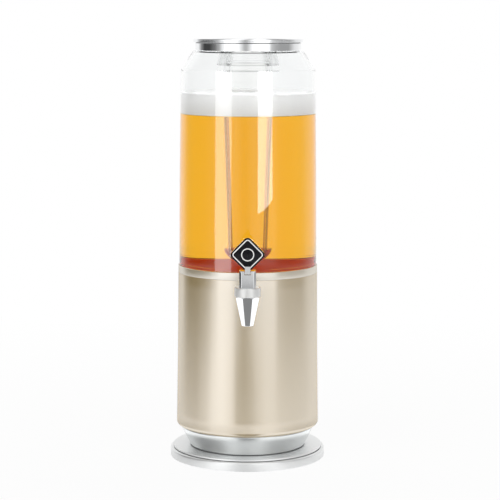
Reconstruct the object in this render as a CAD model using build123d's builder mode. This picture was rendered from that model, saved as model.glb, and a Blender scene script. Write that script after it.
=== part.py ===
from build123d import *
import math
import os

# A beer tower: a clear container with a lift-off lid and an ice tube, on a metal pedestal with a
# lever tap. Millimetres. The tower's axis is Z, it rests on z = 0 and the tap faces -Y.

# Clearances
fit_gap = 0.2          # pieces that are fitted together once
free_gap = 0.3         # faces that move past each other
running_gap = 0.05     # round the lever's pin and the valve's stem

# Base plate, its step and their fittings
base_radius = 87.1
base_height = 10.0
base_wall = 2.5
base_edge = 2.2
base_opening_radius = 42.0
step_inset = 3.4
step_height = 2.5
step_edge = 0.8
foot_drop = 1.0
foot_ring_inset = 8.6
foot_ring_width = 8.0
foot_ring_height = 5.0
foot_ring_edge = 0.8
foot_rib_width = 4.0
foot_rib_bite = 2.0
screw_count = 4
screw_inset = 12.0
screw_radius = 2.0
screw_head_radius = 4.0
screw_head_height = 2.6
screw_socket_radius = 1.6
screw_socket_depth = 1.4
screw_engagement = 7.0
screw_boss_wall = 2.5
screw_boss_cap = 2.0

# Flared foot between the step and the sleeve
cone_bottom_radius = 65.0
cone_height = 23.5
cone_wall = 2.2
cone_spigot_height = 4.0
cone_spigot_wall = 2.0

# Sleeve and its rim
sleeve_height = 173.6
sleeve_foot_radius = 80.2
sleeve_taper = 2.1
sleeve_wall = 2.0
sleeve_waist_depth = 0.25
sleeve_turn_in = 4.0
sleeve_turn_height = 4.6
rim_inset = 0.1
rim_height = 8.4
rim_edge = 0.8
rim_spigot_depth = 3.0
rim_spigot_wall = 1.6

# Container
container_inset = 1.0
container_taper = 2.6
container_bulge_depth = 0.5
container_height = 218.0
container_wall = 2.8
container_floor = 3.0
shoulder_height = 20.2
shoulder_slant = 13.4
shoulder_round = 2.0
neck_inset = 3.7
neck_height = 7.2

# Neck ring and lid
neck_ring_wall = 1.3
neck_ring_lip = 1.4
neck_ring_edge = 0.6
lid_rim_height = 3.7
lid_edge = 1.6
lid_lower_edge = 0.5
lid_recess_wall = 1.7
lid_recess_depth = 6.0
lid_recess_draft = 2.4
lid_panel = 1.6
skirt_depth = 7.7
skirt_wall = 1.6
plug_gap = 0.8
gasket_height = 2.2
gasket_depth = 0.8
gasket_rise = 1.0
vent_radius = 2.0
vent_inset = 10.0

# Lid liner: a disc with a bell and the spigot that carries the ice tube
liner_thickness = 2.4
bell_top_radius = 29.7
bell_bottom_radius = 35.0
bell_depth = 20.0
bell_wall = 2.0
spigot_radius = 22.5
spigot_wall = 2.0
spigot_depth = 16.0
lug_count = 3
lug_angle = 36.0
lug_height = 3.0
lug_reach = 2.2
lug_rise = 2.0

# Ice tube, from its head to its end cap
tube_length = 211.0
tube_top_radius = 21.65
tube_bottom_radius = 16.05
tube_wall = 2.0
tube_flange_height = 2.0
tube_gasket_height = 1.7
head_wall = 2.0
head_ring_height = 6.0
catch_height = 2.7
catch_angle = 56.0
catch_gap = 0.1
catch_root = 0.4
end_cap_radius = 20.0
end_cap_base_radius = 13.0
end_cap_height = 12.0
end_cap_floor = 3.5
end_cap_swell = 1.6
end_seal_height = 1.5

# Tap body, from its spout to the nut inside the container
tap_reach = 33.9
tap_top_margin = 1.1
tap_floor_margin = 3.5
spout_length = 32.0
spout_top_flats = 25.3
spout_bottom_flats = 12.1
spout_sides = 8
collar_radius = 13.9
collar_height = 10.0
collar_edge = 1.4
collar_rise = 1.0
chamber_radius = 9.0
chamber_depth = 19.0
outlet_radius = 4.2
seat_lip_height = 1.0
seat_lip_wall = 1.2
barrel_radius = 9.0
shank_radius = 8.0
shank_bore_radius = 4.5
shank_past_nut = 2.0
flange_radius = 11.0
flange_thickness = 3.0
washer_radius = 11.5
washer_thickness = 2.2
nut_flats = 24.0
nut_thickness = 7.0

# Tap bonnet
bonnet_width = 17.7
bonnet_depth = 20.0
bonnet_height = 18.0
bonnet_corner = 1.2
ear_round = 3.2
plug_length = 6.0
slot_width = 7.0
slot_wall = 1.5
slot_floor_rise = 7.0
slot_wall_drop = 4.0
pocket_radius = 5.3
pocket_rise = 3.0
oring_section = 1.5
oring_rise = 1.0
stem_seal_height = 1.8
stem_seal_wall = 1.5
stem_seal_rise = 1.0

# Lever and valve
pin_radius = 1.5
pin_drop = 3.0
lever_arm = 5.0
lever_foot_radius = 2.8
lever_eye_radius = 4.0
lever_eye_bore = 2.4
lever_side_gap = 0.4
fork_gap = 2.8
fork_root = 1.9
fork_relief = 0.6
neck_width = 5.8
neck_depth = 4.8
neck_rise = 7.8
lever_stud_radius = 2.0
lever_stud_length = 8.0
tang_thickness = 2.0
tang_width = 3.6
tang_rise = 3.0
tang_root = 1.0
stem_radius = 2.0
stem_pin_radius = 1.0
cup_radius = 6.8
cup_height = 6.0
cup_edge = 1.0
cup_bite = 4.0
spring_radius = 4.2
spring_wire_radius = 0.4
spring_turns = 5.0

# Handle
handle_rise = 20.5
handle_half_width = 20.0
handle_corner = 4.2
handle_thickness = 6.0
handle_edge = 0.8
handle_foot_rise = 4.4
notch_gap = 0.1
inlay_inset = 2.0
inlay_width = 1.3
inlay_depth = 0.5
inlay_proud = 0.3
ring_inlay_radius = 7.4
ring_inlay_width = 1.2

# Heights up the tower that follow
base_top = foot_drop + base_height
base_ceiling = base_top - base_wall
foot_rib_bottom = foot_ring_height - foot_rib_bite
step_top = base_top + step_height
cone_top = step_top + cone_height
sleeve_top = cone_top + sleeve_height
rim_top = sleeve_top + rim_height
tap_axis_height = sleeve_top - tap_top_margin - washer_radius
container_base = tap_axis_height - washer_radius - tap_floor_margin - container_floor
shoulder_bottom = rim_top + container_height
shoulder_top = shoulder_bottom + shoulder_height
neck_top = shoulder_top + neck_height
neck_ring_top = neck_top + fit_gap + neck_ring_lip
lid_seat = neck_ring_top + free_gap
lid_top = lid_seat + lid_rim_height
panel_top = lid_top - lid_recess_depth
liner_top = panel_top - lid_panel
liner_bottom = liner_top - liner_thickness
skirt_bottom = lid_seat - skirt_depth
gasket_bottom = skirt_bottom + gasket_rise
bell_bottom = liner_bottom - bell_depth
spigot_bottom = liner_bottom - spigot_depth
lug_bottom = spigot_bottom + lug_rise
lug_top = lug_bottom + lug_height
catch_bottom = lug_top + catch_gap
head_top = catch_bottom + catch_height
tube_top = spigot_bottom - free_gap - tube_gasket_height
tube_flange_bottom = tube_top - tube_flange_height
tube_bottom = tube_top - tube_length
head_bottom = tube_flange_bottom - head_ring_height
cap_floor_top = tube_bottom - end_seal_height
cap_bottom = cap_floor_top - end_cap_floor
cap_top = cap_bottom + end_cap_height

# Radii that follow
base_bore = base_radius - base_wall
step_radius = base_radius - step_inset
foot_ring_radius = base_bore - foot_ring_inset
foot_ring_bore = foot_ring_radius - foot_ring_width
foot_rib_radius = foot_ring_radius - (foot_ring_width - foot_rib_width) / 2
foot_rib_bore = foot_rib_radius - foot_rib_width
screw_place_radius = cone_bottom_radius - screw_inset
sleeve_turn_radius = sleeve_foot_radius - sleeve_turn_in
sleeve_top_radius = sleeve_foot_radius - sleeve_taper
cone_top_radius = sleeve_turn_radius - fit_gap
cone_spigot_radius = sleeve_turn_radius - sleeve_wall - fit_gap
cone_spigot_bore = cone_spigot_radius - cone_spigot_wall
rim_spigot_radius = sleeve_top_radius - sleeve_wall - fit_gap
rim_bore = rim_spigot_radius - rim_spigot_wall
rim_radius = sleeve_top_radius - rim_inset
container_lower_radius = rim_bore - fit_gap
container_lower_bore = container_lower_radius - container_wall
container_bottom_radius = rim_radius - container_inset
container_top_radius = container_bottom_radius - container_taper
shoulder_top_radius = container_top_radius - shoulder_slant
neck_radius = shoulder_top_radius - neck_inset
neck_bore = neck_radius - container_wall
neck_ring_bore = neck_radius + fit_gap
neck_ring_radius = neck_ring_bore + neck_ring_wall
lid_radius = shoulder_top_radius
plug_radius = neck_bore - plug_gap
gasket_radius = neck_bore - free_gap
skirt_bore = plug_radius - skirt_wall
lid_recess_radius = plug_radius - lid_recess_wall
vent_offset = lid_recess_radius - vent_inset
lug_radius = spigot_radius + lug_reach
catch_bore = spigot_radius + 2 * free_gap
head_bore = lug_radius + free_gap
head_radius = head_bore + head_wall
tube_flange_radius = head_bore - 2 * fit_gap
spigot_bore = spigot_radius - spigot_wall

# Heights and distances of the tap that follow
tap_offset = sleeve_top_radius + tap_reach
collar_bottom = tap_axis_height + collar_rise
collar_top = collar_bottom + collar_height
spout_bottom = collar_bottom - spout_length
chamber_bottom = collar_top - chamber_depth
seat_top = chamber_bottom + seat_lip_height
cup_top = seat_top + cup_height
plug_bottom = collar_top - plug_length
oring_bottom = plug_bottom + oring_rise
pocket_top = collar_top + pocket_rise
stem_seal_bottom = pocket_top + stem_seal_rise
slot_floor = collar_top + slot_floor_rise
bonnet_top = collar_top + bonnet_height
slot_wall_top = bonnet_top - slot_wall_drop
pin_height = bonnet_top - pin_drop
pin_offset = tap_offset + lever_arm
stem_top = slot_floor + tang_root
tang_top = pin_height + tang_rise
neck_top_height = pin_height + neck_rise
neck_back = pin_offset - fork_root
neck_front = neck_back + neck_depth
handle_centre = pin_height + handle_rise
handle_foot = pin_height + handle_foot_rise
handle_back = (neck_front + neck_back - handle_thickness) / 2
handle_front = handle_back + handle_thickness
plug_fit_radius = chamber_radius - running_gap
flange_face = sleeve_top_radius + washer_thickness
inner_washer_face = math.sqrt(container_lower_bore**2 - washer_radius**2) - washer_thickness
nut_face = inner_washer_face - nut_thickness
shank_end = nut_face - shank_past_nut
shank_hole_radius = shank_radius + fit_gap

# Planes and patterns
tap_plane = Plane((0, -tap_offset, 0), x_dir=(1, 0, 0), z_dir=(0, 0, 1))
shank_plane = Plane((0, 0, tap_axis_height), x_dir=(1, 0, 0), z_dir=(0, -1, 0))
handle_plane = Plane((0, 0, handle_centre), x_dir=(1, 0, 0), z_dir=(0, -1, 0))
pin_plane = Plane((0, -pin_offset, pin_height), x_dir=(0, 1, 0), z_dir=(1, 0, 0))
eye_plane = Plane((0, -tap_offset, pin_height), x_dir=(0, 1, 0), z_dir=(1, 0, 0))
screw_places = PolarLocations(screw_place_radius, screw_count)


def ring(plane, inner_radius, outer_radius, bottom, top, mode=Mode.ADD):
    """A plain ring or disc on a plane's normal, between two distances from the plane."""
    with BuildSketch(plane.offset(bottom)) as section:
        Circle(outer_radius)
        if inner_radius > 0:
            Circle(inner_radius, mode=Mode.SUBTRACT)
    extrude(section.sketch, amount=top - bottom, mode=mode)


def pegs(places, radius, bottom, top, mode=Mode.ADD):
    """A round peg or hole at each place of a pattern, between two heights."""
    with BuildSketch(Plane.XY.offset(bottom)) as section:
        with places:
            Circle(radius)
    extrude(section.sketch, amount=top - bottom, mode=mode)


def turned(*corners):
    """A solid of revolution about Z, from the corners of its section as (radius, height)."""
    with BuildSketch(Plane.XZ) as section:
        with BuildLine():
            Polyline(*corners, close=True)
        make_face()
    revolve(section.sketch, axis=Axis.Z)


def ring_sectors(inner_radius, outer_radius, bottom, top, angle):
    """Equal sectors of a ring about Z, one for each lug, the first centred on +X."""
    with BuildSketch(Plane.XY.offset(bottom)) as section:
        for index in range(lug_count):
            start = index * 360 / lug_count - angle / 2
            with BuildLine():
                inner = CenterArc((0, 0), inner_radius, start, angle)
                outer = CenterArc((0, 0), outer_radius, start, angle)
                Line(inner @ 0, outer @ 0)
                Line(inner @ 1, outer @ 1)
            make_face()
    extrude(section.sketch, amount=top - bottom)


def box_between(x_half, y_limits, z_limits, mode=Mode.ADD):
    """A box centred on x = 0, between two limits in y and two in z."""
    size = (2 * x_half, y_limits[1] - y_limits[0], z_limits[1] - z_limits[0])
    with Locations((0, sum(y_limits) / 2, sum(z_limits) / 2)):
        Box(*size, mode=mode)


def circles(shape, radius, height):
    """The circular edges of a shape about Z that have this radius and height."""
    found = shape.edges().filter_by(GeomType.CIRCLE)
    found = found.filter_by(lambda edge: math.isclose(edge.radius, radius, abs_tol=0.01))
    return found.filter_by(lambda edge: math.isclose(edge.arc_center.Z, height, abs_tol=0.01))


def sleeve_curve(inset):
    """Foot, middle and top of the sleeve's outer curve, or of a curve inset from it by a wall."""
    middle_radius = (sleeve_foot_radius + sleeve_top_radius) / 2 - sleeve_waist_depth
    middle_height = (cone_top + sleeve_turn_height + sleeve_top) / 2
    foot = (sleeve_foot_radius - inset, cone_top + sleeve_turn_height)
    return foot, (middle_radius - inset, middle_height), (sleeve_top_radius - inset, sleeve_top)


def container_curve(inset):
    """Bottom, middle and top of the container's clear wall, or of a curve inset from it."""
    middle_radius = (container_bottom_radius + container_top_radius) / 2 + container_bulge_depth
    bottom = (container_bottom_radius - inset, rim_top + inset)
    middle = (middle_radius - inset, (rim_top + shoulder_bottom) / 2)
    return bottom, middle, (container_top_radius - inset, shoulder_bottom - inset / 2)


def diamond(plane, inset):
    """The handle's outline on a plane: a square on its point with rounded corners, inset evenly."""
    side = handle_half_width * math.sqrt(2) - 2 * inset
    with BuildSketch(plane) as outline:
        Rectangle(side, side, rotation=45)
        fillet(outline.vertices(), handle_corner - inset)
    return outline.sketch


def cut_for_neck():
    """Cuts the handle's foot level, and a notch over the lever's neck."""
    depth = (-handle_front - handle_thickness, -handle_back + handle_thickness)
    box_between(handle_half_width, depth, (pin_height - handle_rise, handle_foot), Mode.SUBTRACT)
    box_between(neck_width / 2 + notch_gap, depth, (pin_height, neck_top_height), Mode.SUBTRACT)


def save(builder, name):
    """Labels a finished piece and writes it."""
    builder.part.label = name
    export_step(builder.part, "parts/" + name + ".step")


os.makedirs("parts", exist_ok=True)

# Base

with BuildPart() as base_plate:
    ring(Plane.XY, 0, base_radius, foot_drop, base_top)
    fillet(circles(base_plate, base_radius, base_top), base_edge)
    ring(Plane.XY, 0, base_bore, foot_drop, base_ceiling, Mode.SUBTRACT)
    ring(Plane.XY, foot_rib_bore, foot_rib_radius, foot_rib_bottom, base_ceiling)
    pegs(screw_places, screw_radius + fit_gap, base_ceiling, base_top, Mode.SUBTRACT)
    ring(Plane.XY, 0, base_opening_radius, base_ceiling, base_top, Mode.SUBTRACT)
save(base_plate, "base_plate")

with BuildPart() as base_step:
    ring(Plane.XY, base_opening_radius, step_radius, base_top, step_top)
    fillet(circles(base_step, step_radius, step_top), step_edge)
    pegs(screw_places, screw_radius + fit_gap, base_top, step_top, Mode.SUBTRACT)
save(base_step, "base_step")

with BuildPart() as foot_ring:
    ring(Plane.XY, foot_ring_bore, foot_ring_radius, 0, foot_ring_height)
    fillet(circles(foot_ring, foot_ring_radius, 0), foot_ring_edge)
    groove = (foot_rib_bore - fit_gap, foot_rib_radius + fit_gap, foot_rib_bottom, foot_ring_height)
    ring(Plane.XY, *groove, Mode.SUBTRACT)
save(foot_ring, "foot_ring")

with BuildPart() as foot_cone:
    turned(
        (base_opening_radius, step_top),
        (cone_bottom_radius, step_top),
        (cone_top_radius, cone_top),
        (cone_spigot_radius, cone_top),
        (cone_spigot_radius, cone_top + cone_spigot_height),
        (cone_spigot_bore, cone_top + cone_spigot_height),
        (cone_spigot_bore, cone_top - cone_wall),
        (cone_bottom_radius - cone_wall, step_top + cone_wall),
        (base_opening_radius, step_top + cone_wall),
    )
    boss_top = step_top + screw_engagement + screw_boss_cap
    pegs(screw_places, screw_radius + screw_boss_wall, step_top, boss_top)
    screw_hole_top = step_top + screw_engagement + fit_gap
    pegs(screw_places, screw_radius + running_gap, step_top, screw_hole_top, Mode.SUBTRACT)
save(foot_cone, "foot_cone")

with BuildPart() as base_screws:
    pegs(screw_places, screw_head_radius, base_ceiling - screw_head_height, base_ceiling)
    pegs(screw_places, screw_radius, base_ceiling, step_top + screw_engagement)
    with BuildSketch(Plane.XY.offset(base_ceiling - screw_head_height)) as sockets:
        with screw_places:
            RegularPolygon(screw_socket_radius, 6)
    extrude(sockets.sketch, amount=screw_socket_depth, mode=Mode.SUBTRACT)
save(base_screws, "base_screws")

# Pedestal

with BuildPart() as pedestal_sleeve:
    outer_foot, outer_middle, outer_top = sleeve_curve(0)
    inner_foot, inner_middle, inner_top = sleeve_curve(sleeve_wall)
    turn_edge = (sleeve_turn_radius, cone_top)
    turn_middle = (sleeve_turn_radius + 0.7 * sleeve_turn_in, cone_top + 0.3 * sleeve_turn_height)
    turn_inner = (sleeve_turn_radius - sleeve_wall, cone_top)
    with BuildSketch(Plane.XZ) as sleeve_section:
        with BuildLine():
            ThreePointArc(outer_foot, outer_middle, outer_top)
            Line(outer_top, inner_top)
            ThreePointArc(inner_top, inner_middle, inner_foot)
            Polyline(inner_foot, (turn_inner[0], cone_top + sleeve_wall / 2), turn_inner, turn_edge)
            ThreePointArc(turn_edge, turn_middle, outer_foot)
        make_face()
    revolve(axis=Axis.Z)
    ring(shank_plane, 0, shank_hole_radius, container_lower_bore, tap_offset, Mode.SUBTRACT)
save(pedestal_sleeve, "pedestal_sleeve")

with BuildPart() as pedestal_rim:
    turned(
        (rim_bore, sleeve_top - rim_spigot_depth),
        (rim_spigot_radius, sleeve_top - rim_spigot_depth),
        (rim_spigot_radius, sleeve_top),
        (rim_radius, sleeve_top),
        (rim_radius, rim_top),
        (rim_bore, rim_top),
    )
    fillet(circles(pedestal_rim, rim_radius, rim_top), rim_edge)
save(pedestal_rim, "pedestal_rim")

# Container

with BuildPart() as container:
    outer_bottom, outer_middle, outer_top = container_curve(0)
    inner_bottom, inner_middle, inner_top = container_curve(container_wall)
    shoulder_slope = (container_top_radius - shoulder_top_radius) / shoulder_height
    slanted_wall = container_wall * math.hypot(1, shoulder_slope)
    ledge_bottom = shoulder_top - container_wall
    ledge_radius = shoulder_top_radius + shoulder_slope * container_wall - slanted_wall
    with BuildSketch(Plane.XZ) as container_section:
        with BuildLine():
            Polyline(
                (0, container_base + container_floor),
                (0, container_base),
                (container_lower_radius, container_base),
                (container_lower_radius, rim_top),
                outer_bottom,
            )
            ThreePointArc(outer_bottom, outer_middle, outer_top)
            Polyline(
                outer_top,
                (shoulder_top_radius, shoulder_top),
                (neck_radius, shoulder_top),
                (neck_radius, neck_top),
                (neck_bore, neck_top),
                (neck_bore, ledge_bottom),
                (ledge_radius, ledge_bottom),
                inner_top,
            )
            ThreePointArc(inner_top, inner_middle, inner_bottom)
            Polyline(
                inner_bottom,
                (container_lower_bore, rim_top),
                (container_lower_bore, container_base + container_floor),
                (0, container_base + container_floor),
            )
        make_face()
        shoulder_corner = container_section.vertices().sort_by_distance(outer_top)[0]
        fillet(shoulder_corner, shoulder_round)
    revolve(axis=Axis.Z)
    ring(shank_plane, 0, shank_hole_radius, nut_face, tap_offset, Mode.SUBTRACT)
save(container, "container")

with BuildPart() as neck_ring:
    turned(
        (neck_ring_bore, shoulder_top),
        (neck_ring_radius, shoulder_top),
        (neck_ring_radius, neck_ring_top),
        (neck_bore, neck_ring_top),
        (neck_bore, neck_top + fit_gap),
        (neck_ring_bore, neck_top + fit_gap),
    )
    fillet(circles(neck_ring, neck_ring_radius, neck_ring_top), neck_ring_edge)
save(neck_ring, "neck_ring")

# Lid

with BuildPart() as lid_shell:
    turned(
        (0, liner_top),
        (skirt_bore, liner_top),
        (skirt_bore, skirt_bottom),
        (plug_radius, skirt_bottom),
        (plug_radius, lid_seat),
        (lid_radius, lid_seat),
        (lid_radius, lid_top),
        (lid_recess_radius + lid_recess_draft, lid_top),
        (lid_recess_radius, panel_top),
        (0, panel_top),
    )
    fillet(circles(lid_shell, lid_radius, lid_top), lid_edge)
    fillet(circles(lid_shell, lid_radius, lid_seat), lid_lower_edge)
    gasket_groove = plug_radius - gasket_depth
    gasket_top = gasket_bottom + gasket_height
    ring(Plane.XY, gasket_groove, lid_radius, gasket_bottom, gasket_top, Mode.SUBTRACT)
    with Locations((0, vent_offset, panel_top)):
        Hole(vent_radius)
save(lid_shell, "lid_shell")

with BuildPart() as lid_gasket:
    ring(Plane.XY, gasket_groove, gasket_radius, gasket_bottom, gasket_top)
save(lid_gasket, "lid_gasket")

with BuildPart() as lid_liner:
    ring(Plane.XY, 0, skirt_bore - fit_gap, liner_bottom, liner_top)
    turned(
        (bell_top_radius - bell_wall, liner_bottom),
        (bell_top_radius, liner_bottom),
        (bell_bottom_radius, bell_bottom),
        (bell_bottom_radius - bell_wall, bell_bottom),
    )
    ring(Plane.XY, spigot_bore, spigot_radius, spigot_bottom, liner_bottom)
    ring_sectors(spigot_radius - spigot_wall / 2, lug_radius, lug_bottom, lug_top, lug_angle)
    with Locations((0, vent_offset, liner_top)):
        Hole(vent_radius)
save(lid_liner, "lid_liner")

# Ice tube

with BuildPart() as ice_tube_head:
    turned(
        (tube_top_radius + fit_gap, head_bottom),
        (head_radius, head_bottom),
        (head_radius, head_top),
        (head_bore, head_top),
        (head_bore, tube_flange_bottom),
        (tube_top_radius + fit_gap, tube_flange_bottom),
    )
    ring_sectors(catch_bore, head_bore + catch_root, catch_bottom, head_top, catch_angle)
save(ice_tube_head, "ice_tube_head")

with BuildPart() as ice_tube:
    turned(
        (tube_top_radius - tube_wall, tube_top),
        (tube_flange_radius, tube_top),
        (tube_flange_radius, tube_flange_bottom),
        (tube_top_radius, tube_flange_bottom),
        (tube_bottom_radius, tube_bottom),
        (tube_bottom_radius - tube_wall, tube_bottom),
    )
save(ice_tube, "ice_tube")

with BuildPart() as ice_tube_gasket:
    ring(Plane.XY, spigot_bore, tube_flange_radius, tube_top, tube_top + tube_gasket_height)
save(ice_tube_gasket, "ice_tube_gasket")

with BuildPart() as ice_tube_end_cap:
    tube_slope = (tube_top_radius - tube_bottom_radius) / (tube_flange_bottom - tube_bottom)
    cap_bore = tube_bottom_radius + tube_slope * (cap_top - tube_bottom) + fit_gap
    base_corner = (end_cap_base_radius, cap_bottom)
    lip_corner = (end_cap_radius, cap_top)
    swell_radius = (end_cap_base_radius + end_cap_radius) / 2 + end_cap_swell
    swell_height = (cap_bottom + cap_top) / 2 - end_cap_swell / 2
    with BuildSketch(Plane.XZ) as cap_section:
        with BuildLine():
            ThreePointArc(base_corner, (swell_radius, swell_height), lip_corner)
            Polyline(
                lip_corner,
                (cap_bore, cap_top),
                (cap_bore, cap_floor_top),
                (0, cap_floor_top),
                (0, cap_bottom),
                base_corner,
            )
        make_face()
    revolve(axis=Axis.Z)
save(ice_tube_end_cap, "ice_tube_end_cap")

with BuildPart() as ice_tube_seal:
    ring(Plane.XY, tube_bottom_radius - tube_wall, tube_bottom_radius, cap_floor_top, tube_bottom)
save(ice_tube_seal, "ice_tube_seal")

# Tap body and what clamps it to the wall

with BuildPart() as tap_body:
    for height, flats in ((spout_bottom, spout_bottom_flats), (collar_bottom, spout_top_flats)):
        with BuildSketch(tap_plane.offset(height)):
            facet_turn = 180 / spout_sides
            RegularPolygon(flats / 2, spout_sides, major_radius=False, rotation=facet_turn)
    loft()
    ring(tap_plane, 0, collar_radius, collar_bottom, collar_top)
    fillet(circles(tap_body, collar_radius, collar_top), collar_edge)
    ring(shank_plane, 0, barrel_radius, flange_face, tap_offset)
    ring(shank_plane, 0, flange_radius, flange_face, flange_face + flange_thickness)
    ring(shank_plane, 0, shank_radius, shank_end, flange_face)
    ring(tap_plane, 0, chamber_radius, chamber_bottom, collar_top, Mode.SUBTRACT)
    ring(shank_plane, 0, shank_bore_radius, shank_end, tap_offset, Mode.SUBTRACT)
    ring(tap_plane, outlet_radius, outlet_radius + seat_lip_wall, chamber_bottom, seat_top)
    ring(tap_plane, 0, outlet_radius, spout_bottom, chamber_bottom, Mode.SUBTRACT)
save(tap_body, "tap_body")

with BuildPart() as sleeve_core:
    turned(
        (0, cone_top),
        (sleeve_foot_radius, cone_top + sleeve_turn_height),
        (sleeve_top_radius, sleeve_top),
        (0, sleeve_top),
    )

with BuildPart() as tap_outer_washer:
    ring(shank_plane, shank_radius + fit_gap, washer_radius, container_lower_bore, flange_face)
    add(sleeve_core.part, mode=Mode.SUBTRACT)
save(tap_outer_washer, "tap_outer_washer")

with BuildPart() as container_core:
    ring(Plane.XY, 0, container_lower_bore, container_base, rim_top)

with BuildPart() as tap_inner_washer:
    ring(shank_plane, shank_hole_radius, washer_radius, inner_washer_face, container_lower_bore)
    add(container_core.part, mode=Mode.INTERSECT)
save(tap_inner_washer, "tap_inner_washer")

with BuildPart() as tap_lock_nut:
    with BuildSketch(shank_plane.offset(nut_face)) as nut_section:
        RegularPolygon(nut_flats / 2, 6, major_radius=False)
        Circle(shank_radius + running_gap, mode=Mode.SUBTRACT)
    extrude(amount=nut_thickness)
save(tap_lock_nut, "tap_lock_nut")

# Tap bonnet with the lever's pin and the seals

with BuildPart() as tap_bonnet:
    with BuildSketch(tap_plane.offset(collar_top)):
        RectangleRounded(bonnet_width, bonnet_depth, bonnet_corner)
    extrude(amount=bonnet_height)
    ears = tap_bonnet.edges().filter_by(Axis.X).group_by(Axis.Z)[-1].sort_by(Axis.Y)[0]
    fillet(ears, ear_round)
    ring(tap_plane, 0, plug_fit_radius, plug_bottom, collar_top)
    ring(tap_plane, 0, pocket_radius, plug_bottom, pocket_top, Mode.SUBTRACT)
    ring(tap_plane, 0, stem_radius + running_gap, pocket_top, slot_floor, Mode.SUBTRACT)
    stem_seal_radius = stem_radius + running_gap + stem_seal_wall
    stem_seal_top = stem_seal_bottom + stem_seal_height
    ring(tap_plane, 0, stem_seal_radius, stem_seal_bottom, stem_seal_top, Mode.SUBTRACT)
    oring_bore = plug_fit_radius - oring_section
    oring_top = oring_bottom + oring_section
    ring(tap_plane, oring_bore, chamber_radius, oring_bottom, oring_top, Mode.SUBTRACT)
    bonnet_front = -tap_offset - bonnet_depth / 2
    bonnet_back = -tap_offset + bonnet_depth / 2
    slot_depth = (bonnet_front + slot_wall, bonnet_back - slot_wall)
    box_between(slot_width / 2, slot_depth, (slot_floor, bonnet_top), Mode.SUBTRACT)
    slot_mouth = (bonnet_front, bonnet_back)
    box_between(slot_width / 2, slot_mouth, (slot_wall_top, bonnet_top), Mode.SUBTRACT)
    ring(pin_plane, 0, pin_radius, -bonnet_width / 2, bonnet_width / 2, Mode.SUBTRACT)
save(tap_bonnet, "tap_bonnet")

with BuildPart() as bonnet_oring:
    ring(tap_plane, oring_bore, plug_fit_radius, oring_bottom, oring_top)
save(bonnet_oring, "bonnet_oring")

with BuildPart() as stem_seal:
    ring(tap_plane, stem_radius + running_gap, stem_seal_radius, stem_seal_bottom, stem_seal_top)
save(stem_seal, "stem_seal")

with BuildPart() as lever_pin:
    ring(pin_plane, 0, pin_radius, -bonnet_width / 2, bonnet_width / 2)
save(lever_pin, "lever_pin")

# Lever and handle

with BuildPart() as tap_lever:
    foot_width = slot_width - 2 * lever_side_gap
    with BuildSketch(pin_plane):
        Circle(lever_foot_radius)
        with Locations((lever_arm, 0)):
            Circle(lever_eye_radius)
        make_hull()
    extrude(amount=foot_width / 2, both=True)
    fork_depth = (-neck_back, -tap_offset + lever_eye_radius)
    fork_height = (pin_height - lever_eye_radius, pin_height + lever_eye_radius)
    box_between(fork_gap / 2, fork_depth, fork_height, Mode.SUBTRACT)
    relief_depth = (-pin_offset, -neck_back)
    relief_height = (fork_height[0], pin_height - pin_radius - running_gap - fork_relief)
    box_between(fork_gap / 2, relief_depth, relief_height, Mode.SUBTRACT)
    box_between(neck_width / 2, (-neck_front, -neck_back), (pin_height, neck_top_height))
    stud_plane = Plane((0, -(neck_front + neck_back) / 2, 0), x_dir=(1, 0, 0), z_dir=(0, 0, 1))
    stud_top = neck_top_height + lever_stud_length
    ring(stud_plane, 0, lever_stud_radius, neck_top_height, stud_top)
    ring(pin_plane, 0, pin_radius + running_gap, -foot_width / 2, foot_width / 2, Mode.SUBTRACT)
    ring(eye_plane, 0, lever_eye_bore, -foot_width / 2, foot_width / 2, Mode.SUBTRACT)
save(tap_lever, "tap_lever")

with BuildPart() as handle_plate:
    extrude(diamond(handle_plane.offset(handle_back), 0), amount=handle_thickness)
    fillet(handle_plate.faces().filter_by(Axis.Y).edges(), handle_edge)
    cut_for_neck()
    groove_plane = handle_plane.offset(handle_front - inlay_depth)
    extrude(diamond(groove_plane, inlay_inset), amount=inlay_depth, mode=Mode.SUBTRACT)
    extrude(diamond(groove_plane, inlay_inset + inlay_width), amount=inlay_depth)
    cut_for_neck()
    ring_inlay_bore = ring_inlay_radius - ring_inlay_width
    inlay_back = handle_front - inlay_depth
    ring(handle_plane, ring_inlay_bore, ring_inlay_radius, inlay_back, handle_front, Mode.SUBTRACT)
    ring(stud_plane, 0, lever_stud_radius, neck_top_height, stud_top, Mode.SUBTRACT)
save(handle_plate, "handle_plate")

with BuildPart() as handle_outline:
    extrude(diamond(groove_plane, inlay_inset), amount=inlay_depth + inlay_proud)
    inner_diamond = diamond(groove_plane, inlay_inset + inlay_width)
    extrude(inner_diamond, amount=inlay_depth + inlay_proud, mode=Mode.SUBTRACT)
    cut_for_neck()
save(handle_outline, "handle_outline")

with BuildPart() as handle_ring:
    ring(handle_plane, ring_inlay_bore, ring_inlay_radius, inlay_back, handle_front + inlay_proud)
save(handle_ring, "handle_ring")

# Valve

with BuildPart() as valve_stem:
    ring(tap_plane, 0, stem_radius, cup_top - cup_bite, stem_top)
    tang_depth = (-tap_offset - tang_width / 2, -tap_offset + tang_width / 2)
    box_between(tang_thickness / 2, tang_depth, (stem_top, tang_top))
    ring(eye_plane, 0, stem_pin_radius, -tang_thickness / 2, tang_thickness / 2, Mode.SUBTRACT)
save(valve_stem, "valve_stem")

with BuildPart() as valve_stem_pin:
    ring(eye_plane, 0, stem_pin_radius, -foot_width / 2, foot_width / 2)
save(valve_stem_pin, "valve_stem_pin")

with BuildPart() as valve_cup:
    ring(tap_plane, 0, cup_radius, seat_top, cup_top)
    fillet(valve_cup.edges().filter_by(GeomType.CIRCLE), cup_edge)
    ring(tap_plane, 0, stem_radius, cup_top - cup_bite, cup_top, Mode.SUBTRACT)
save(valve_cup, "valve_cup")

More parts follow.
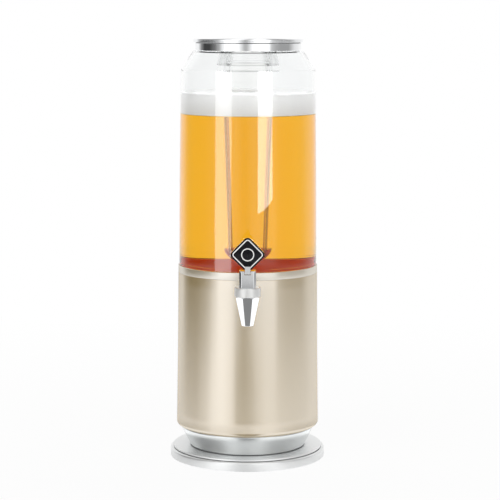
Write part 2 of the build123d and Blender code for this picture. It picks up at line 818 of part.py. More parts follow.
with BuildPart() as valve_spring:
    spring_height = pocket_top - cup_top - 2 * spring_wire_radius
    spring_start = tap_plane.offset(cup_top + spring_wire_radius)
    with BuildLine(spring_start) as coil:
        Helix(spring_height / spring_turns, spring_height, spring_radius)
    with BuildSketch(Plane(coil.line @ 0, z_dir=coil.line % 0)):
        Circle(spring_wire_radius)
    sweep(path=coil.line, is_frenet=True)
save(valve_spring, "valve_spring")
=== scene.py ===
import math

import bpy
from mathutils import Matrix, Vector


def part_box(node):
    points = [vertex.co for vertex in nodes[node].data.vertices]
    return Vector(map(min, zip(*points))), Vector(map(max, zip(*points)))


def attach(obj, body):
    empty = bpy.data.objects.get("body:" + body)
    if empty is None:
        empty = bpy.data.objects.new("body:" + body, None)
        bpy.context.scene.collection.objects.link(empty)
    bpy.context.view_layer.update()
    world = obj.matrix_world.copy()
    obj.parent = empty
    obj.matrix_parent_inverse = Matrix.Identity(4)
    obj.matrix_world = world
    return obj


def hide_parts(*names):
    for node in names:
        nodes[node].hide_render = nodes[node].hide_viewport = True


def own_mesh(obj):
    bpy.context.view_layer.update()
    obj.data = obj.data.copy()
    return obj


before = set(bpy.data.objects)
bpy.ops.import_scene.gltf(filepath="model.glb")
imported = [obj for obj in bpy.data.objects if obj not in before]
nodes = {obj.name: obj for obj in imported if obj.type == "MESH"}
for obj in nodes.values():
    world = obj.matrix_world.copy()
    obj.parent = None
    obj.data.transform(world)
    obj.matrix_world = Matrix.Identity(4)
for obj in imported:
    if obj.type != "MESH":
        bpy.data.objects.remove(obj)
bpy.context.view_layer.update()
mm = 0.001               # pieces are drawn in millimetres and scaled once, when they are made
near = 0.05              # a point this close to a plane, in millimetres, counts as lying on it
past = 5.0               # how far a cutting shape reaches past what it cuts
joinLap = 1.0            # how far a shape laps over the face where it joins or opens another
smoothAngle = math.radians(32)
bpy.ops.object.select_all(action="DESELECT")
print("frame loaded:", len(nodes), "nodes")


class Span:  # how far a CAD node reaches, in millimetres
    def __init__(self, node):
        low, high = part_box(node)
        self.radius = high.x / mm
        self.bottom, self.top = low.z / mm, high.z / mm
        self.front, self.back = low.y / mm, high.y / mm


def setMode(mode):
    bpy.ops.object.mode_set(mode=mode)


def selectAll():
    bpy.ops.mesh.select_all(action="SELECT")


def dropSelection():
    bpy.ops.object.select_all(action="DESELECT")


def easeCorners(corners, facet=math.radians(10)):
    # corners are (across, up) or (across, up, radius), and a radius becomes a short arc
    points = []
    for index, corner in enumerate(corners):
        here = Vector(corner[:2])
        radius = corner[2] if len(corner) > 2 else 0
        if not radius:
            points.append(here)
            continue
        before = (Vector(corners[index - 1][:2]) - here).normalized()
        after = (Vector(corners[(index + 1) % len(corners)][:2]) - here).normalized()
        half = before.angle(after) / 2
        centre = here + (before + after).normalized() * (radius / math.sin(half))
        reach = radius / math.tan(half)
        first, last = here + before * reach - centre, here + after * reach - centre
        sweep = math.pi - 2 * half
        steps = max(2, math.ceil(sweep / facet))
        for step in range(steps + 1):
            turn = sweep * step / steps
            mixed = first * math.sin(sweep - turn) + last * math.sin(turn)
            points.append(centre + mixed / math.sin(sweep))
    return points


def bowed(start, end, bow, steps=10):
    # points between two ends of a wall that swells outwards, or inwards with a negative bow
    points = []
    for step in range(1, steps):
        share = step / steps
        across = start[0] + (end[0] - start[0]) * share + 4 * bow * share * (1 - share)
        points.append((across, start[1] + (end[1] - start[1]) * share))
    return points


def pick(piece):
    # selects one piece alone and makes it the active one
    dropSelection()
    piece.select_set(True)
    bpy.context.view_layer.objects.active = piece


def selectPoints(piece, wanted):
    # in edit mode: leaves only the vertices selected that pass the test
    setMode("OBJECT")
    for part in (piece.data.vertices, piece.data.edges, piece.data.polygons):
        part.foreach_set("select", [False] * len(part))
    for vertex in piece.data.vertices:
        vertex.select = wanted(vertex)
    setMode("EDIT")


def drawLine(name, points, closed, upAxis="Z"):
    # a chain of vertices drawn by extrusion, left in edit mode
    dropSelection()
    bpy.ops.mesh.primitive_plane_add(size=mm, location=(0, 0, 0))
    piece = bpy.context.object
    piece.name = piece.data.name = name
    setMode("EDIT")
    bpy.ops.mesh.select_mode(type="VERT")
    selectAll()
    bpy.ops.mesh.merge(type="CENTER")
    places = [Vector((a, 0, u) if upAxis == "Z" else (a, u, 0)) * mm for a, u in points]
    bpy.ops.transform.translate(value=places[0])
    for before, after in zip(places, places[1:]):
        bpy.ops.mesh.extrude_vertices_move(TRANSFORM_OT_translate={"value": after - before})
    if closed:
        last = len(places) - 1
        selectPoints(piece, lambda vertex: vertex.index in (0, last))
        bpy.ops.mesh.edge_face_add()
    selectAll()
    return piece


def closeUp(piece):
    # welds a seam, turns the faces outwards and leaves edit mode
    setMode("EDIT")
    selectAll()
    bpy.ops.mesh.remove_doubles(threshold=0.002 * mm)
    bpy.ops.mesh.normals_make_consistent(inside=False)
    setMode("OBJECT")
    return piece


def smooth(piece, angle=smoothAngle):
    pick(piece)
    bpy.ops.object.shade_smooth_by_angle(angle=angle)
    return piece


def turnPiece(name, corners, steps=160, centre=(0, 0, 0), upAxis="Z"):
    # a turned piece from its section; a section that touches the axis at both ends needs no closing line
    points = [tuple(point) for point in easeCorners(corners)]
    closed = points[0][0] > 0 or points[-1][0] > 0
    piece = drawLine(name, points, closed, upAxis)
    axis = (0, 0, 1) if upAxis == "Z" else (0, 1, 0)
    bpy.ops.mesh.spin(steps=steps, angle=2 * math.pi, center=(0, 0, 0), axis=axis)
    selectAll()
    bpy.ops.transform.translate(value=Vector(centre) * mm)
    return smooth(closeUp(piece))


def sector(name, inner, outer, bottom, top, angle, start):
    # a block that follows part of a ring: one face, spun through an angle
    piece = drawLine(name, [(inner, bottom), (outer, bottom), (outer, top), (inner, top)], True)
    bpy.ops.mesh.edge_face_add()
    bpy.ops.transform.rotate(value=-math.radians(start), orient_axis="Z", center_override=(0, 0, 0))
    bpy.ops.mesh.spin(steps=12, angle=math.radians(angle), center=(0, 0, 0), axis=(0, 0, 1))
    return closeUp(piece)


def settle(name):
    # names a new primitive and puts its place, turn and size into its mesh
    piece = bpy.context.object
    piece.name = piece.data.name = name
    bpy.ops.object.transform_apply(location=True, rotation=True, scale=True)
    return piece


def block(name, low, high):
    # a cuboid between two corners in millimetres
    dropSelection()
    middle = [(a + b) / 2 * mm for a, b in zip(low, high)]
    bpy.ops.mesh.primitive_cube_add(size=1, location=middle)
    bpy.context.object.scale = [(b - a) * mm for a, b in zip(low, high)]
    return settle(name)


def prism(name, sides, radius, length, centre, rotation=(0, 0, 0)):
    # a straight prism or cylinder in millimetres
    dropSelection()
    bpy.ops.mesh.primitive_cylinder_add(
        vertices=sides, radius=radius * mm, depth=length * mm, location=Vector(centre) * mm,
        rotation=rotation)
    return settle(name)


def softenEdges(piece, wanted, width, segments=4):
    # bevels the edges that pass a test on their two ends
    pick(piece)
    setMode("EDIT")
    bpy.ops.mesh.select_mode(type="EDGE")
    bpy.ops.mesh.select_all(action="DESELECT")
    setMode("OBJECT")
    for edge in piece.data.edges:
        ends = [piece.data.vertices[index].co / mm for index in edge.vertices]
        edge.select = wanted(*ends)
    setMode("EDIT")
    bpy.ops.mesh.bevel(
        offset=width * mm, offset_type="OFFSET", segments=segments, profile=0.5, affect="EDGES")
    bpy.ops.mesh.select_mode(type="VERT")
    setMode("OBJECT")
    return piece


def modify(piece, kind, **settings):
    # adds one modifier and applies it
    pick(piece)
    bpy.ops.object.modifier_add(type=kind)
    modifier = piece.modifiers[-1]
    for key, value in settings.items():
        setattr(modifier, key, value)
    bpy.ops.object.modifier_apply(modifier=modifier.name)
    return piece


def flattenFaces(piece):
    # large faces keep their own direction, and only the narrow ones between them shade round
    return modify(smooth(piece), "WEIGHTED_NORMAL", keep_sharp=True)


def cut(piece, tool, operation="DIFFERENCE"):
    # joins or carves a piece with a tool shape, which is used up
    modify(piece, "BOOLEAN", object=tool, operation=operation, solver="EXACT")
    bpy.data.objects.remove(tool)
    return piece


def bore(piece, centre, radius, depth, rotation=(0, 0, 0)):
    # a plain round hole through a piece
    return cut(piece, prism("drill", 48, radius, depth, centre, rotation))


class Shade:  # a node's output that takes part in sums
    def __init__(self, paint, socket):
        self.paint, self.socket = paint, socket

    def combine(self, operation, first, second):
        return self.paint.node("ShaderNodeMath", {"operation": operation}, {0: first, 1: second})

    def __add__(self, other):
        return self.combine("ADD", self, other)

    def __sub__(self, other):
        return self.combine("SUBTRACT", self, other)

    def __rsub__(self, other):
        return self.combine("SUBTRACT", other, self)

    def __mul__(self, other):
        return self.combine("MULTIPLY", self, other)

    def __truediv__(self, other):
        return self.combine("DIVIDE", self, other)

    def __gt__(self, other):
        return self.combine("GREATER_THAN", self, other)

    def __lt__(self, other):
        return self.combine("LESS_THAN", self, other)

    __radd__ = __add__
    __rmul__ = __mul__


class Paint:  # the node tree of a material or of the world
    def __init__(self, holder):
        holder.use_nodes = True
        self.holder = holder
        self.tree = holder.node_tree
        self.tree.nodes.clear()

    def node(self, kind, settings=None, sockets=None, output=0):
        made = self.tree.nodes.new(kind)
        for key, value in (settings or {}).items():
            if key == "stops":
                ramp = made.color_ramp
                for extra in range(len(value) - 2):
                    ramp.elements.new(0.5)
                for element, (place, tone) in zip(ramp.elements, value):
                    element.position, element.color = place, (*tone, 1)
            else:
                setattr(made, key, value)
        for key, value in (sockets or {}).items():
            if isinstance(value, Shade):
                self.tree.links.new(value.socket, made.inputs[key])
            else:
                made.inputs[key].default_value = value
        return Shade(self, made.outputs[output])

    def place(self):
        return self.node("ShaderNodeTexCoord", output="Object")

    def height(self):
        return self.node("ShaderNodeSeparateXYZ", sockets={0: self.place()}, output=2)

    def noise(self, scale, detail=2, stretch=(1, 1, 1)):
        spot = self.node("ShaderNodeMapping", sockets={"Vector": self.place(), "Scale": stretch})
        sockets = {"Vector": spot, "Scale": scale, "Detail": detail}
        return self.node("ShaderNodeTexNoise", sockets=sockets, output="Fac")

    def bubbles(self, scale):
        return self.node("ShaderNodeTexVoronoi", sockets={"Vector": self.place(), "Scale": scale})

    def tones(self, share, low, high):
        low, high = (tone if isinstance(tone, Shade) else (*tone, 1) for tone in (low, high))
        return self.node("ShaderNodeMix", {"data_type": "RGBA"}, {0: share, 6: low, 7: high}, output=2)

    def ramp(self, value, start, end, settings=None, **reach):
        sockets = {"Value": value, "From Min": start, "From Max": end}
        for key, bound in reach.items():  # low and high are what the ramp gives at its two ends
            sockets["To Min" if key == "low" else "To Max"] = bound
        return self.node("ShaderNodeMapRange", settings, sockets)

    def bump(self, height, strength, distance):
        sockets = {"Height": height, "Strength": strength, "Distance": distance}
        return self.node("ShaderNodeBump", sockets=sockets, output="Normal")

    def lightPath(self, output):
        return self.node("ShaderNodeLightPath", output=output)

    def absorption(self, look):
        sockets = {"Color": look["tint"], "Density": look["density"]}
        return self.node("ShaderNodeVolumeAbsorption", sockets=sockets)

    def surface(self, sockets):
        return self.node("ShaderNodeBsdfPrincipled", sockets=sockets)

    def finish(self, surface, volume=None):
        world = isinstance(self.holder, bpy.types.World)
        end = self.tree.nodes.new("ShaderNodeOutputWorld" if world else "ShaderNodeOutputMaterial")
        self.tree.links.new(surface.socket, end.inputs["Surface"])
        if volume:
            self.tree.links.new(volume.socket, end.inputs["Volume"])
        return self.holder


def newPaint(name):
    return Paint(bpy.data.materials.new(name))


# noise scales are per metre, and the depth of a relief is in metres
satinGrain = {"cloud": 11, "fine": 2600, "brushed": 420, "stretch": (1, 1, 0.02), "fineRough": 0.07,
              "cloudRough": 0.05, "relief": 0.08, "depth": 0.0001}
satinLook = {
    # the champagne pieces are gold paint under a strong pale sheen, and the silver ones are mostly metal
    "champagneSatin": {
        "low": (0.49, 0.36, 0.155), "high": (0.53, 0.40, 0.185), "metal": 0, "rough": 0.14, "bend": 5.0,
        "sheen": (1, 0.975, 0.945)},
    "champagneRim": {
        "low": (0.56, 0.47, 0.31), "high": (0.60, 0.51, 0.35), "metal": 0, "rough": 0.17, "bend": 5.0},
    "silverSatin": {
        "low": (0.72, 0.74, 0.745), "high": (0.79, 0.81, 0.81), "metal": 0.85, "rough": 0.22, "bend": 1.5},
    # painted light: a lighter copy of silverSatin for the plate and the step, whose top faces look lit
    "silverPlate": {
        "low": (0.82, 0.83, 0.83), "high": (0.88, 0.89, 0.89), "metal": 0.60, "rough": 0.30, "bend": 1.5},
    # painted light: the inside of the sleeve and rim is painted orange and glows, as if lit through the beer
    "innerLacquer": {
        "low": (0.93, 0.31, 0.02), "high": (0.97, 0.34, 0.03), "metal": 0, "rough": 0.60, "bend": 1.2,
        "glow": (0.19, 0.03, 0.0)},
    "collarSatin": {
        "low": (0.74, 0.74, 0.73), "high": (0.80, 0.80, 0.79), "metal": 0.60, "rough": 0.38, "bend": 1.5},
}


def satinPaint(name):
    look, grain = satinLook[name], satinGrain
    paint = newPaint(name)
    cloud = paint.noise(grain["cloud"], detail=3)
    fine = paint.noise(grain["fine"], detail=1)
    brushed = paint.noise(grain["brushed"], stretch=grain["stretch"])
    colour = paint.tones(cloud, look["low"], look["high"])
    rough = look["rough"] + grain["fineRough"] * (fine - 0.5) + grain["cloudRough"] * (cloud - 0.5)
    relief = paint.bump(fine * 0.7 + brushed * 0.3, grain["relief"], grain["depth"])
    return paint.finish(paint.surface({
        "Base Color": colour, "Metallic": look["metal"], "Roughness": rough, "Normal": relief,
        "IOR": look["bend"], "Specular Tint": (*look.get("sheen", (1, 1, 1)), 1),
        "Emission Color": (*look.get("glow", (0, 0, 0)), 1), "Emission Strength": 1}))


mirrorGrain = {"cloud": 60, "scuffs": 900, "stretch": (1, 1, 0.1), "scuffFrom": 0.62, "scuffRough": 0.05,
               "cloudRough": 0.02, "depth": 0.00008}
mirrorLook = {
    "chromePaint": {"low": (0.84, 0.85, 0.86), "high": (0.91, 0.92, 0.93), "rough": 0.045, "wave": 0.10},
    "steelPaint": {"low": (0.52,) * 3, "high": (0.64,) * 3, "rough": 0.24, "wave": 0.20},
}


def mirrorPaint(name):
    look, grain = mirrorLook[name], mirrorGrain
    paint = newPaint(name)
    cloud = paint.noise(grain["cloud"], detail=4)
    scuffs = paint.noise(grain["scuffs"], detail=3, stretch=grain["stretch"])
    colour = paint.tones(cloud, look["low"], look["high"])
    scuffed = grain["scuffRough"] * (scuffs > grain["scuffFrom"]) * cloud
    rough = look["rough"] + scuffed + grain["cloudRough"] * cloud
    relief = paint.bump(cloud, look["wave"], grain["depth"])
    return paint.finish(paint.surface({
        "Base Color": colour, "Metallic": 1, "Roughness": rough, "Normal": relief}))


# heights of the drink in millimetres, and how far it laps into the wall that it wets
drinkLevels = {"beerTop": 388.0, "foamTop": 412.5, "lap": 0.3, "wallFrom": 222.0, "seatGap": 0.1}

clearGrain = {"flow": 14, "specks": 1400, "stretch": (1, 1, 0.25), "speckFrom": 0.72, "speckRough": 0.012,
              "relief": 0.04, "depth": 0.0005}
clearTone = {"low": (0.97, 0.975, 0.975), "high": (0.985, 0.99, 0.99)}
clearLook = {
    # an edge tone is painted shade: it darkens a wall where it is seen edge on, up to edgeTop in millimetres
    "clearWall": {
        "low": (0.955, 0.965, 0.965), "high": (0.985, 0.99, 0.99), "bend": 1.38, "rough": 0.004, "shine": 1.0,
        "coat": 0.3},
    "clearInside": {**clearTone, "bend": 1.38, "rough": 0.004, "shine": 0.1},
    "clearGasket": {**clearTone, "bend": 1.05, "rough": 0.05, "shine": 0.5},
    "clearLip": {"low": (0.80,) * 3, "high": (0.85,) * 3, "bend": 1.05, "rough": 0.05, "shine": 0.5},
    "clearNeck": {**clearTone, "bend": 1.04, "rough": 0.004, "shine": 0.3},
    "clearMoulding": {
        "low": (0.988,) * 3, "high": (0.996,) * 3, "bend": 1.07, "rough": 0.01, "shine": 1.0,
        "edge": (0.82, 0.83, 0.83), "edgeFrom": 0.25, "edgeTo": 0.85, "edgeTop": 500},
    "iceTubeWall": {
        "low": (0.98, 0.98, 0.975), "high": (0.995, 0.995, 0.99), "bend": 1.17, "rough": 0.02, "shine": 0.3,
        "edge": (0.20, 0.14, 0.06), "edgeFrom": 0.51, "edgeTo": 0.55, "edgeTop": drinkLevels["beerTop"]},
    "iceCapWall": {
        "low": (0.60, 0.37, 0.13), "high": (0.66, 0.42, 0.17), "bend": 1.17, "rough": 0.02, "shine": 0.2,
        "tint": (0.85, 0.45, 0.06, 1), "density": 260},
}


def clearPaint(name):
    look, grain = clearLook[name], clearGrain
    paint = newPaint(name)
    flow = paint.noise(grain["flow"], stretch=grain["stretch"])
    specks = paint.noise(grain["specks"])
    colour = paint.tones(flow, look["low"], look["high"])
    # painted shade where the wall is seen edge on
    if "edge" in look:
        facing = paint.node("ShaderNodeLayerWeight", sockets={"Blend": 0.5}, output="Facing")
        edge = paint.ramp(facing, look["edgeFrom"], look["edgeTo"])
        colour = paint.tones(edge * (look["edgeTop"] * mm > paint.height()), colour, look["edge"])
    rough = look["rough"] + grain["speckRough"] * (specks > grain["speckFrom"])
    relief = paint.bump(flow, grain["relief"], grain["depth"])
    surface = paint.surface({
        "Base Color": colour, "Roughness": rough, "IOR": look["bend"],
        "Specular Tint": (*(look["shine"],) * 3, 1), "Transmission Weight": 1, "Normal": relief,
        "Coat Weight": look.get("coat", 0), "Coat Roughness": 0.01})
    return paint.finish(surface, paint.absorption(look) if "tint" in look else None)


beerLook = {
    "bend": 1.34, "stain": (0.995, 0.645, 0.09), "pale": (1.0, 0.665, 0.10), "haze": 30, "shine": 0.15,
    "tint": (0.983, 0.786, 0.07, 1), "density": 11.5, "wallSteps": 14}


def beerPaint():
    look = beerLook
    paint = newPaint("beerPaint")
    colour = paint.tones(paint.noise(look["haze"]), look["stain"], look["pale"])
    surface = paint.surface({
        "Base Color": colour, "Roughness": 0, "IOR": look["bend"],
        "Specular Tint": (*(look["shine"],) * 3, 1), "Transmission Weight": 1})
    return paint.finish(surface, paint.absorption(look))


foamLook = {
    "fresh": (0.94, 0.94, 0.93), "wet": (0.80, 0.79, 0.77), "rough": 0.75, "bubbleRough": 0.15,
    "bubble": 520, "fineBubble": 1900, "relief": 0.5, "depth": 0.0004, "wallSteps": 8, "topRings": 22,
    # the crown's glow sets in between two heights, in millimetres from the foam's top
    "glow": 0.055, "crownGlow": 0.50, "crownFrom": -2.2, "crownTo": -0.8,
    # kind, size and rise in metres of the heaps on top, and the share of their rise that is sunk
    "heaps": (("CLOUDS", 0.016, 0.0030), ("VORONOI", 0.006, 0.0016)), "sunk": 0.55}


def foamPaint():
    look = foamLook
    bottom, top = drinkLevels["beerTop"], drinkLevels["foamTop"]
    paint = newPaint("foamPaint")
    soft = {"clamp": True, "interpolation_type": "SMOOTHSTEP"}
    rise = paint.ramp(paint.height(), bottom * mm, top * mm, soft)
    crown = paint.ramp(paint.height(), (top + look["crownFrom"]) * mm, (top + look["crownTo"]) * mm, soft)
    large, small = paint.bubbles(look["bubble"]), paint.bubbles(look["fineBubble"])
    relief = paint.bump(large * 0.7 + small * 0.3, look["relief"], look["depth"])
    return paint.finish(paint.surface({
        "Base Color": paint.tones(rise, look["wet"], look["fresh"]),
        "Roughness": look["rough"] + look["bubbleRough"] * large, "Normal": relief,
        "Emission Color": paint.tones(crown, (look["glow"],) * 3, (look["crownGlow"],) * 3),
        "Emission Strength": 1,
        "Subsurface Weight": 0.35, "Subsurface Radius": (1, 1, 0.95), "Subsurface Scale": 0.004}))


softDepth = 0.0002
softLook = {
    "blackGloss": {
        "low": (0.003, 0.003, 0.005), "high": (0.007, 0.007, 0.010), "rough": 0.12, "grain": 300,
        "relief": 0.02, "shine": 0.2},
    "paleInlay": {
        "low": (0.95, 0.95, 0.94), "high": (0.99, 0.99, 0.98), "rough": 0.30, "grain": 900,
        "relief": 0.05, "shine": 0.5},
    # black rubber, also used as painted shade on the faces inside the shadow gaps
    "blackRubber": {
        "low": (0.020, 0.020, 0.022), "high": (0.040, 0.040, 0.043), "rough": 0.70, "grain": 1500,
        "relief": 0.3, "shine": 0.5},
    "milkySilicone": {
        "low": (0.66, 0.68, 0.69), "high": (0.76, 0.78, 0.79), "rough": 0.45, "grain": 700,
        "relief": 0.1, "shine": 0.5},
}


def softPaint(name):
    look = softLook[name]
    paint = newPaint(name)
    grain = paint.noise(look["grain"], detail=3)
    return paint.finish(paint.surface({
        "Base Color": paint.tones(grain, look["low"], look["high"]),
        "Roughness": look["rough"] + 0.1 * (grain - 0.5), "Specular IOR Level": look["shine"],
        "Normal": paint.bump(grain, look["relief"], softDepth)}))


paints = {"beerPaint": beerPaint(), "foamPaint": foamPaint()}
for looks, mixPaint in (
        (satinLook, satinPaint), (mirrorLook, mirrorPaint), (clearLook, clearPaint), (softLook, softPaint)):
    paints.update({name: mixPaint(name) for name in looks})
print("finishes made:", len(paints))


def dress(piece, paintName, slot, body, *replaced):
    # gives a new piece its finish and its body, and hides the CAD nodes that it stands for
    piece.data.materials.clear()
    piece.data.materials.append(paints[paintName])
    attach(piece, body)
    if replaced:
        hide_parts(*replaced)
    return piece


def paintSome(piece, paintName, wanted):
    # gives another finish to the faces that pass a test
    piece.data.materials.append(paints[paintName])
    for face in piece.data.polygons:
        if wanted(face):
            face.material_index = len(piece.data.materials) - 1


def lineInside(piece, paintName):
    # the faces that look towards the axis
    paintSome(piece, paintName, lambda face: face.normal.xy.dot(face.center.xy) < 0)


def paintBand(piece, paintName, low, high, flatOnly=False):
    # the faces that lie wholly between two heights, or the level ones among them
    def isInBand(face):
        heights = [piece.data.vertices[index].co.z / mm for index in face.vertices]
        inside = min(heights) > low - near and max(heights) < high + near
        return inside and (abs(face.normal.z) > 0.9 or not flatOnly)

    paintSome(piece, paintName, isInBand)


base = Span("base_plate")
step = Span("base_step")
footRing = Span("foot_ring")
baseLook = {
    "wall": 2.5, "opening": 42.0, "topEdge": 2.2, "rim": 0.4, "ceilingRound": 0.8, "ribOuter": 74.0,
    "ribInner": 70.0, "ribBottom": 3.0, "stepEdge": 0.3, "stepGap": 0.7, "coneGap": 0.9, "gapDepth": 3.0}
footLook = {"innerRadius": 68.0, "edge": 0.8, "slotGap": 0.2}

ceiling = base.top - baseLook["wall"]
wallInner = base.radius - baseLook["wall"]
basePlate = turnPiece("basePlate", [
    (wallInner, base.bottom, baseLook["rim"]), (base.radius, base.bottom, baseLook["rim"]),
    (base.radius, base.top, baseLook["topEdge"]), (baseLook["opening"], base.top, baseLook["rim"]),
    (baseLook["opening"], ceiling), (baseLook["ribInner"], ceiling),
    (baseLook["ribInner"], baseLook["ribBottom"]), (baseLook["ribOuter"], baseLook["ribBottom"]),
    (baseLook["ribOuter"], ceiling), (wallInner, ceiling, baseLook["ceilingRound"])], 224)
# painted light: the plate takes the lighter copy of the silver
dress(basePlate, "silverPlate", "silver_satin", "root", "base_plate")

stepFoot = step.radius - baseLook["gapDepth"]
stepGapTop = step.bottom + baseLook["stepGap"]
baseStep = turnPiece("baseStep", [  # a shadow gap runs round under its edge
    (baseLook["opening"], step.bottom), (stepFoot, step.bottom), (stepFoot, stepGapTop),
    (step.radius, stepGapTop), (step.radius, step.top, baseLook["stepEdge"]),
    (baseLook["opening"], step.top)], 224)
# painted light: the step takes the lighter copy of the silver
dress(baseStep, "silverPlate", "silver_satin", "root", "base_step")
# painted shade: the faces inside the gap are black
paintBand(baseStep, "blackRubber", step.bottom, stepGapTop)

slotInner = baseLook["ribInner"] - footLook["slotGap"]
slotOuter = baseLook["ribOuter"] + footLook["slotGap"]
footPad = turnPiece("footRing", [
    (footLook["innerRadius"], footRing.bottom, footLook["edge"]),
    (footRing.radius, footRing.bottom, footLook["edge"]), (footRing.radius, footRing.top),
    (slotOuter, footRing.top), (slotOuter, baseLook["ribBottom"]), (slotInner, baseLook["ribBottom"]),
    (slotInner, footRing.top), (footLook["innerRadius"], footRing.top)])
dress(footPad, "blackRubber", "black_rubber", "root", "foot_ring")

cone = Span("foot_cone")
coneLook = {
    "lowerRadius": 65.0, "wall": 2.2, "spigot": 74.0, "spigotBore": 72.0, "spigotHeight": 4.0, "edge": 1.5,
    "lowerEdge": 0.2}
coneTop = cone.top - coneLook["spigotHeight"]
coneFoot = coneLook["lowerRadius"] - baseLook["gapDepth"]
coneGapTop = cone.bottom + baseLook["coneGap"]
footCone = turnPiece("footCone", [
    (baseLook["opening"], cone.bottom), (coneFoot, cone.bottom), (coneFoot, coneGapTop),
    (coneLook["lowerRadius"], coneGapTop, coneLook["lowerEdge"]), (cone.radius, coneTop, coneLook["edge"]),
    (coneLook["spigot"], coneTop), (coneLook["spigot"], cone.top), (coneLook["spigotBore"], cone.top),
    (coneLook["spigotBore"], coneTop - coneLook["wall"]),
    (coneLook["lowerRadius"] - coneLook["wall"], cone.bottom + coneLook["wall"]),
    (baseLook["opening"], cone.bottom + coneLook["wall"])], 224)
dress(footCone, "silverSatin", "silver_satin", "root", "foot_cone")
# painted shade: the faces inside the gap are black
paintBand(footCone, "blackRubber", cone.bottom, coneGapTop)

sleeve = Span("pedestal_sleeve")
sleeveLook = {
    "footRadius": 80.2, "topRadius": 78.1, "wall": 2.0, "waist": -0.25, "turnIn": 4.0, "turnHeight": 4.6,
    "edge": 0.35, "turnSteps": 8, "wallSteps": 14}


def sleeveSection():
    look = sleeveLook
    foot, top, wall = look["footRadius"], look["topRadius"], look["wall"]
    low = sleeve.bottom + look["turnHeight"]
    turned = []
    for step in range(look["turnSteps"] + 1):  # the foot rolls inwards by a quarter of an ellipse
        turn = math.radians(90) * step / look["turnSteps"]
        inwards, down = look["turnIn"] * (1 - math.sin(turn)), look["turnHeight"] * math.cos(turn)
        turned.append((foot - inwards, low - down))
    outer = bowed((foot, low), (top, sleeve.top), look["waist"], look["wallSteps"])
    inner = bowed((top - wall, sleeve.top), (foot - wall, low), look["waist"], look["wallSteps"])
    turnInner = foot - look["turnIn"] - wall
    return (turned + outer + [(top, sleeve.top, look["edge"]), (top - wall, sleeve.top)] + inner
            + [(foot - wall, low), (turnInner, sleeve.bottom + wall / 2), (turnInner, sleeve.bottom)])


pedestalSleeve = turnPiece("pedestalSleeve", sleeveSection(), 256)
dress(pedestalSleeve, "champagneSatin", "champagne_satin", "root", "pedestal_sleeve")
# painted light: the inner faces glow orange, as if lit through the beer
lineInside(pedestalSleeve, "innerLacquer")

rim = Span("pedestal_rim")
rimLook = {"bore": 74.3, "spigot": 75.9, "spigotDepth": 3.0, "edge": 0.8, "lowerEdge": 0.4}
rimLow = rim.bottom + rimLook["spigotDepth"]
pedestalRim = turnPiece("pedestalRim", [
    (rimLook["bore"], rim.bottom), (rimLook["spigot"], rim.bottom), (rimLook["spigot"], rimLow),
    (rim.radius, rimLow, rimLook["lowerEdge"]), (rim.radius, rim.top, rimLook["edge"]),
    (rimLook["bore"], rim.top)], 256)
dress(pedestalRim, "champagneRim", "champagne_rim", "root", "pedestal_rim")
# painted light: the inner faces glow orange, as if lit through the beer
lineInside(pedestalRim, "innerLacquer")
print("base and pedestal made")


box = Span("container")
boxLook = {
    "lowerRadius": 74.1, "wall": 2.8, "floor": 3.0, "seat": 219.0, "bottomRadius": 77.0, "topRadius": 74.4,
    "shoulderBottom": 437.0, "shoulderTop": 457.2, "shoulderRadius": 61.0, "neckRadius": 57.3, "bow": 0.5,
    "wallSteps": 18, "ledge": 59.5, "footRound": 1.0, "seatRound": 0.6, "floorRound": 2.0,
    "shoulderRound": 4.0, "innerRound": 3.0, "shoulderEdge": 0.3, "neckEdge": 0.4}
ledgeHeight = boxLook["shoulderTop"] - boxLook["wall"]


def wallLine(inset):
    # the clear wall's curve from its seat to the shoulder, moved inwards by an inset
    look = boxLook
    low = (look["bottomRadius"] - inset, look["seat"] + inset)
    high = (look["topRadius"] - inset, look["shoulderBottom"] - inset / 2)
    return low, bowed(low, high, look["bow"], look["wallSteps"]), high


def wallPoints(inset, bottom, top, steps):
    # points of the same curve between two heights
    low, _, high = wallLine(inset)
    points = []
    for step in range(steps + 1):
        height = bottom + (top - bottom) * step / steps
        share = (height - low[1]) / (high[1] - low[1])
        across = low[0] + (high[0] - low[0]) * share + 4 * boxLook["bow"] * share * (1 - share)
        points.append((across, height))
    return points


def containerSection():
    look = boxLook
    neckBore = look["neckRadius"] - look["wall"]
    lowerBore = look["lowerRadius"] - look["wall"]
    low, middle, high = wallLine(0)
    innerLow, innerMiddle, innerHigh = wallLine(look["wall"])
    return [
        (0, box.bottom), (look["lowerRadius"], box.bottom, look["footRound"]),
        (look["lowerRadius"], look["seat"]), (*low, look["seatRound"]), *middle,
        (*high, look["shoulderRound"]), (look["shoulderRadius"], look["shoulderTop"], look["shoulderEdge"]),
        (look["neckRadius"], look["shoulderTop"]), (look["neckRadius"], box.top, look["neckEdge"]),
        (neckBore, box.top, look["neckEdge"]), (neckBore, ledgeHeight), (look["ledge"], ledgeHeight),
        (*innerHigh, look["innerRound"]), *reversed(innerMiddle), innerLow, (lowerBore, look["seat"]),
        (lowerBore, box.bottom + look["floor"], look["floorRound"]), (0, box.bottom + look["floor"])]


container = turnPiece("container", containerSection(), 256)

tube = Span("ice_tube")
cap = Span("ice_tube_end_cap")
tubeLook = {"topRadius": 21.65, "bottomRadius": 16.05, "wall": 2.0, "flangeHeight": 2.0, "edge": 0.3}
capLook = {"baseRadius": 13.0, "floor": 3.5, "swell": 1.6, "gap": 0.2}
flangeBottom = tube.top - tubeLook["flangeHeight"]


def tubeRadius(height):
    share = (height - tube.bottom) / (flangeBottom - tube.bottom)
    return tubeLook["bottomRadius"] + (tubeLook["topRadius"] - tubeLook["bottomRadius"]) * share


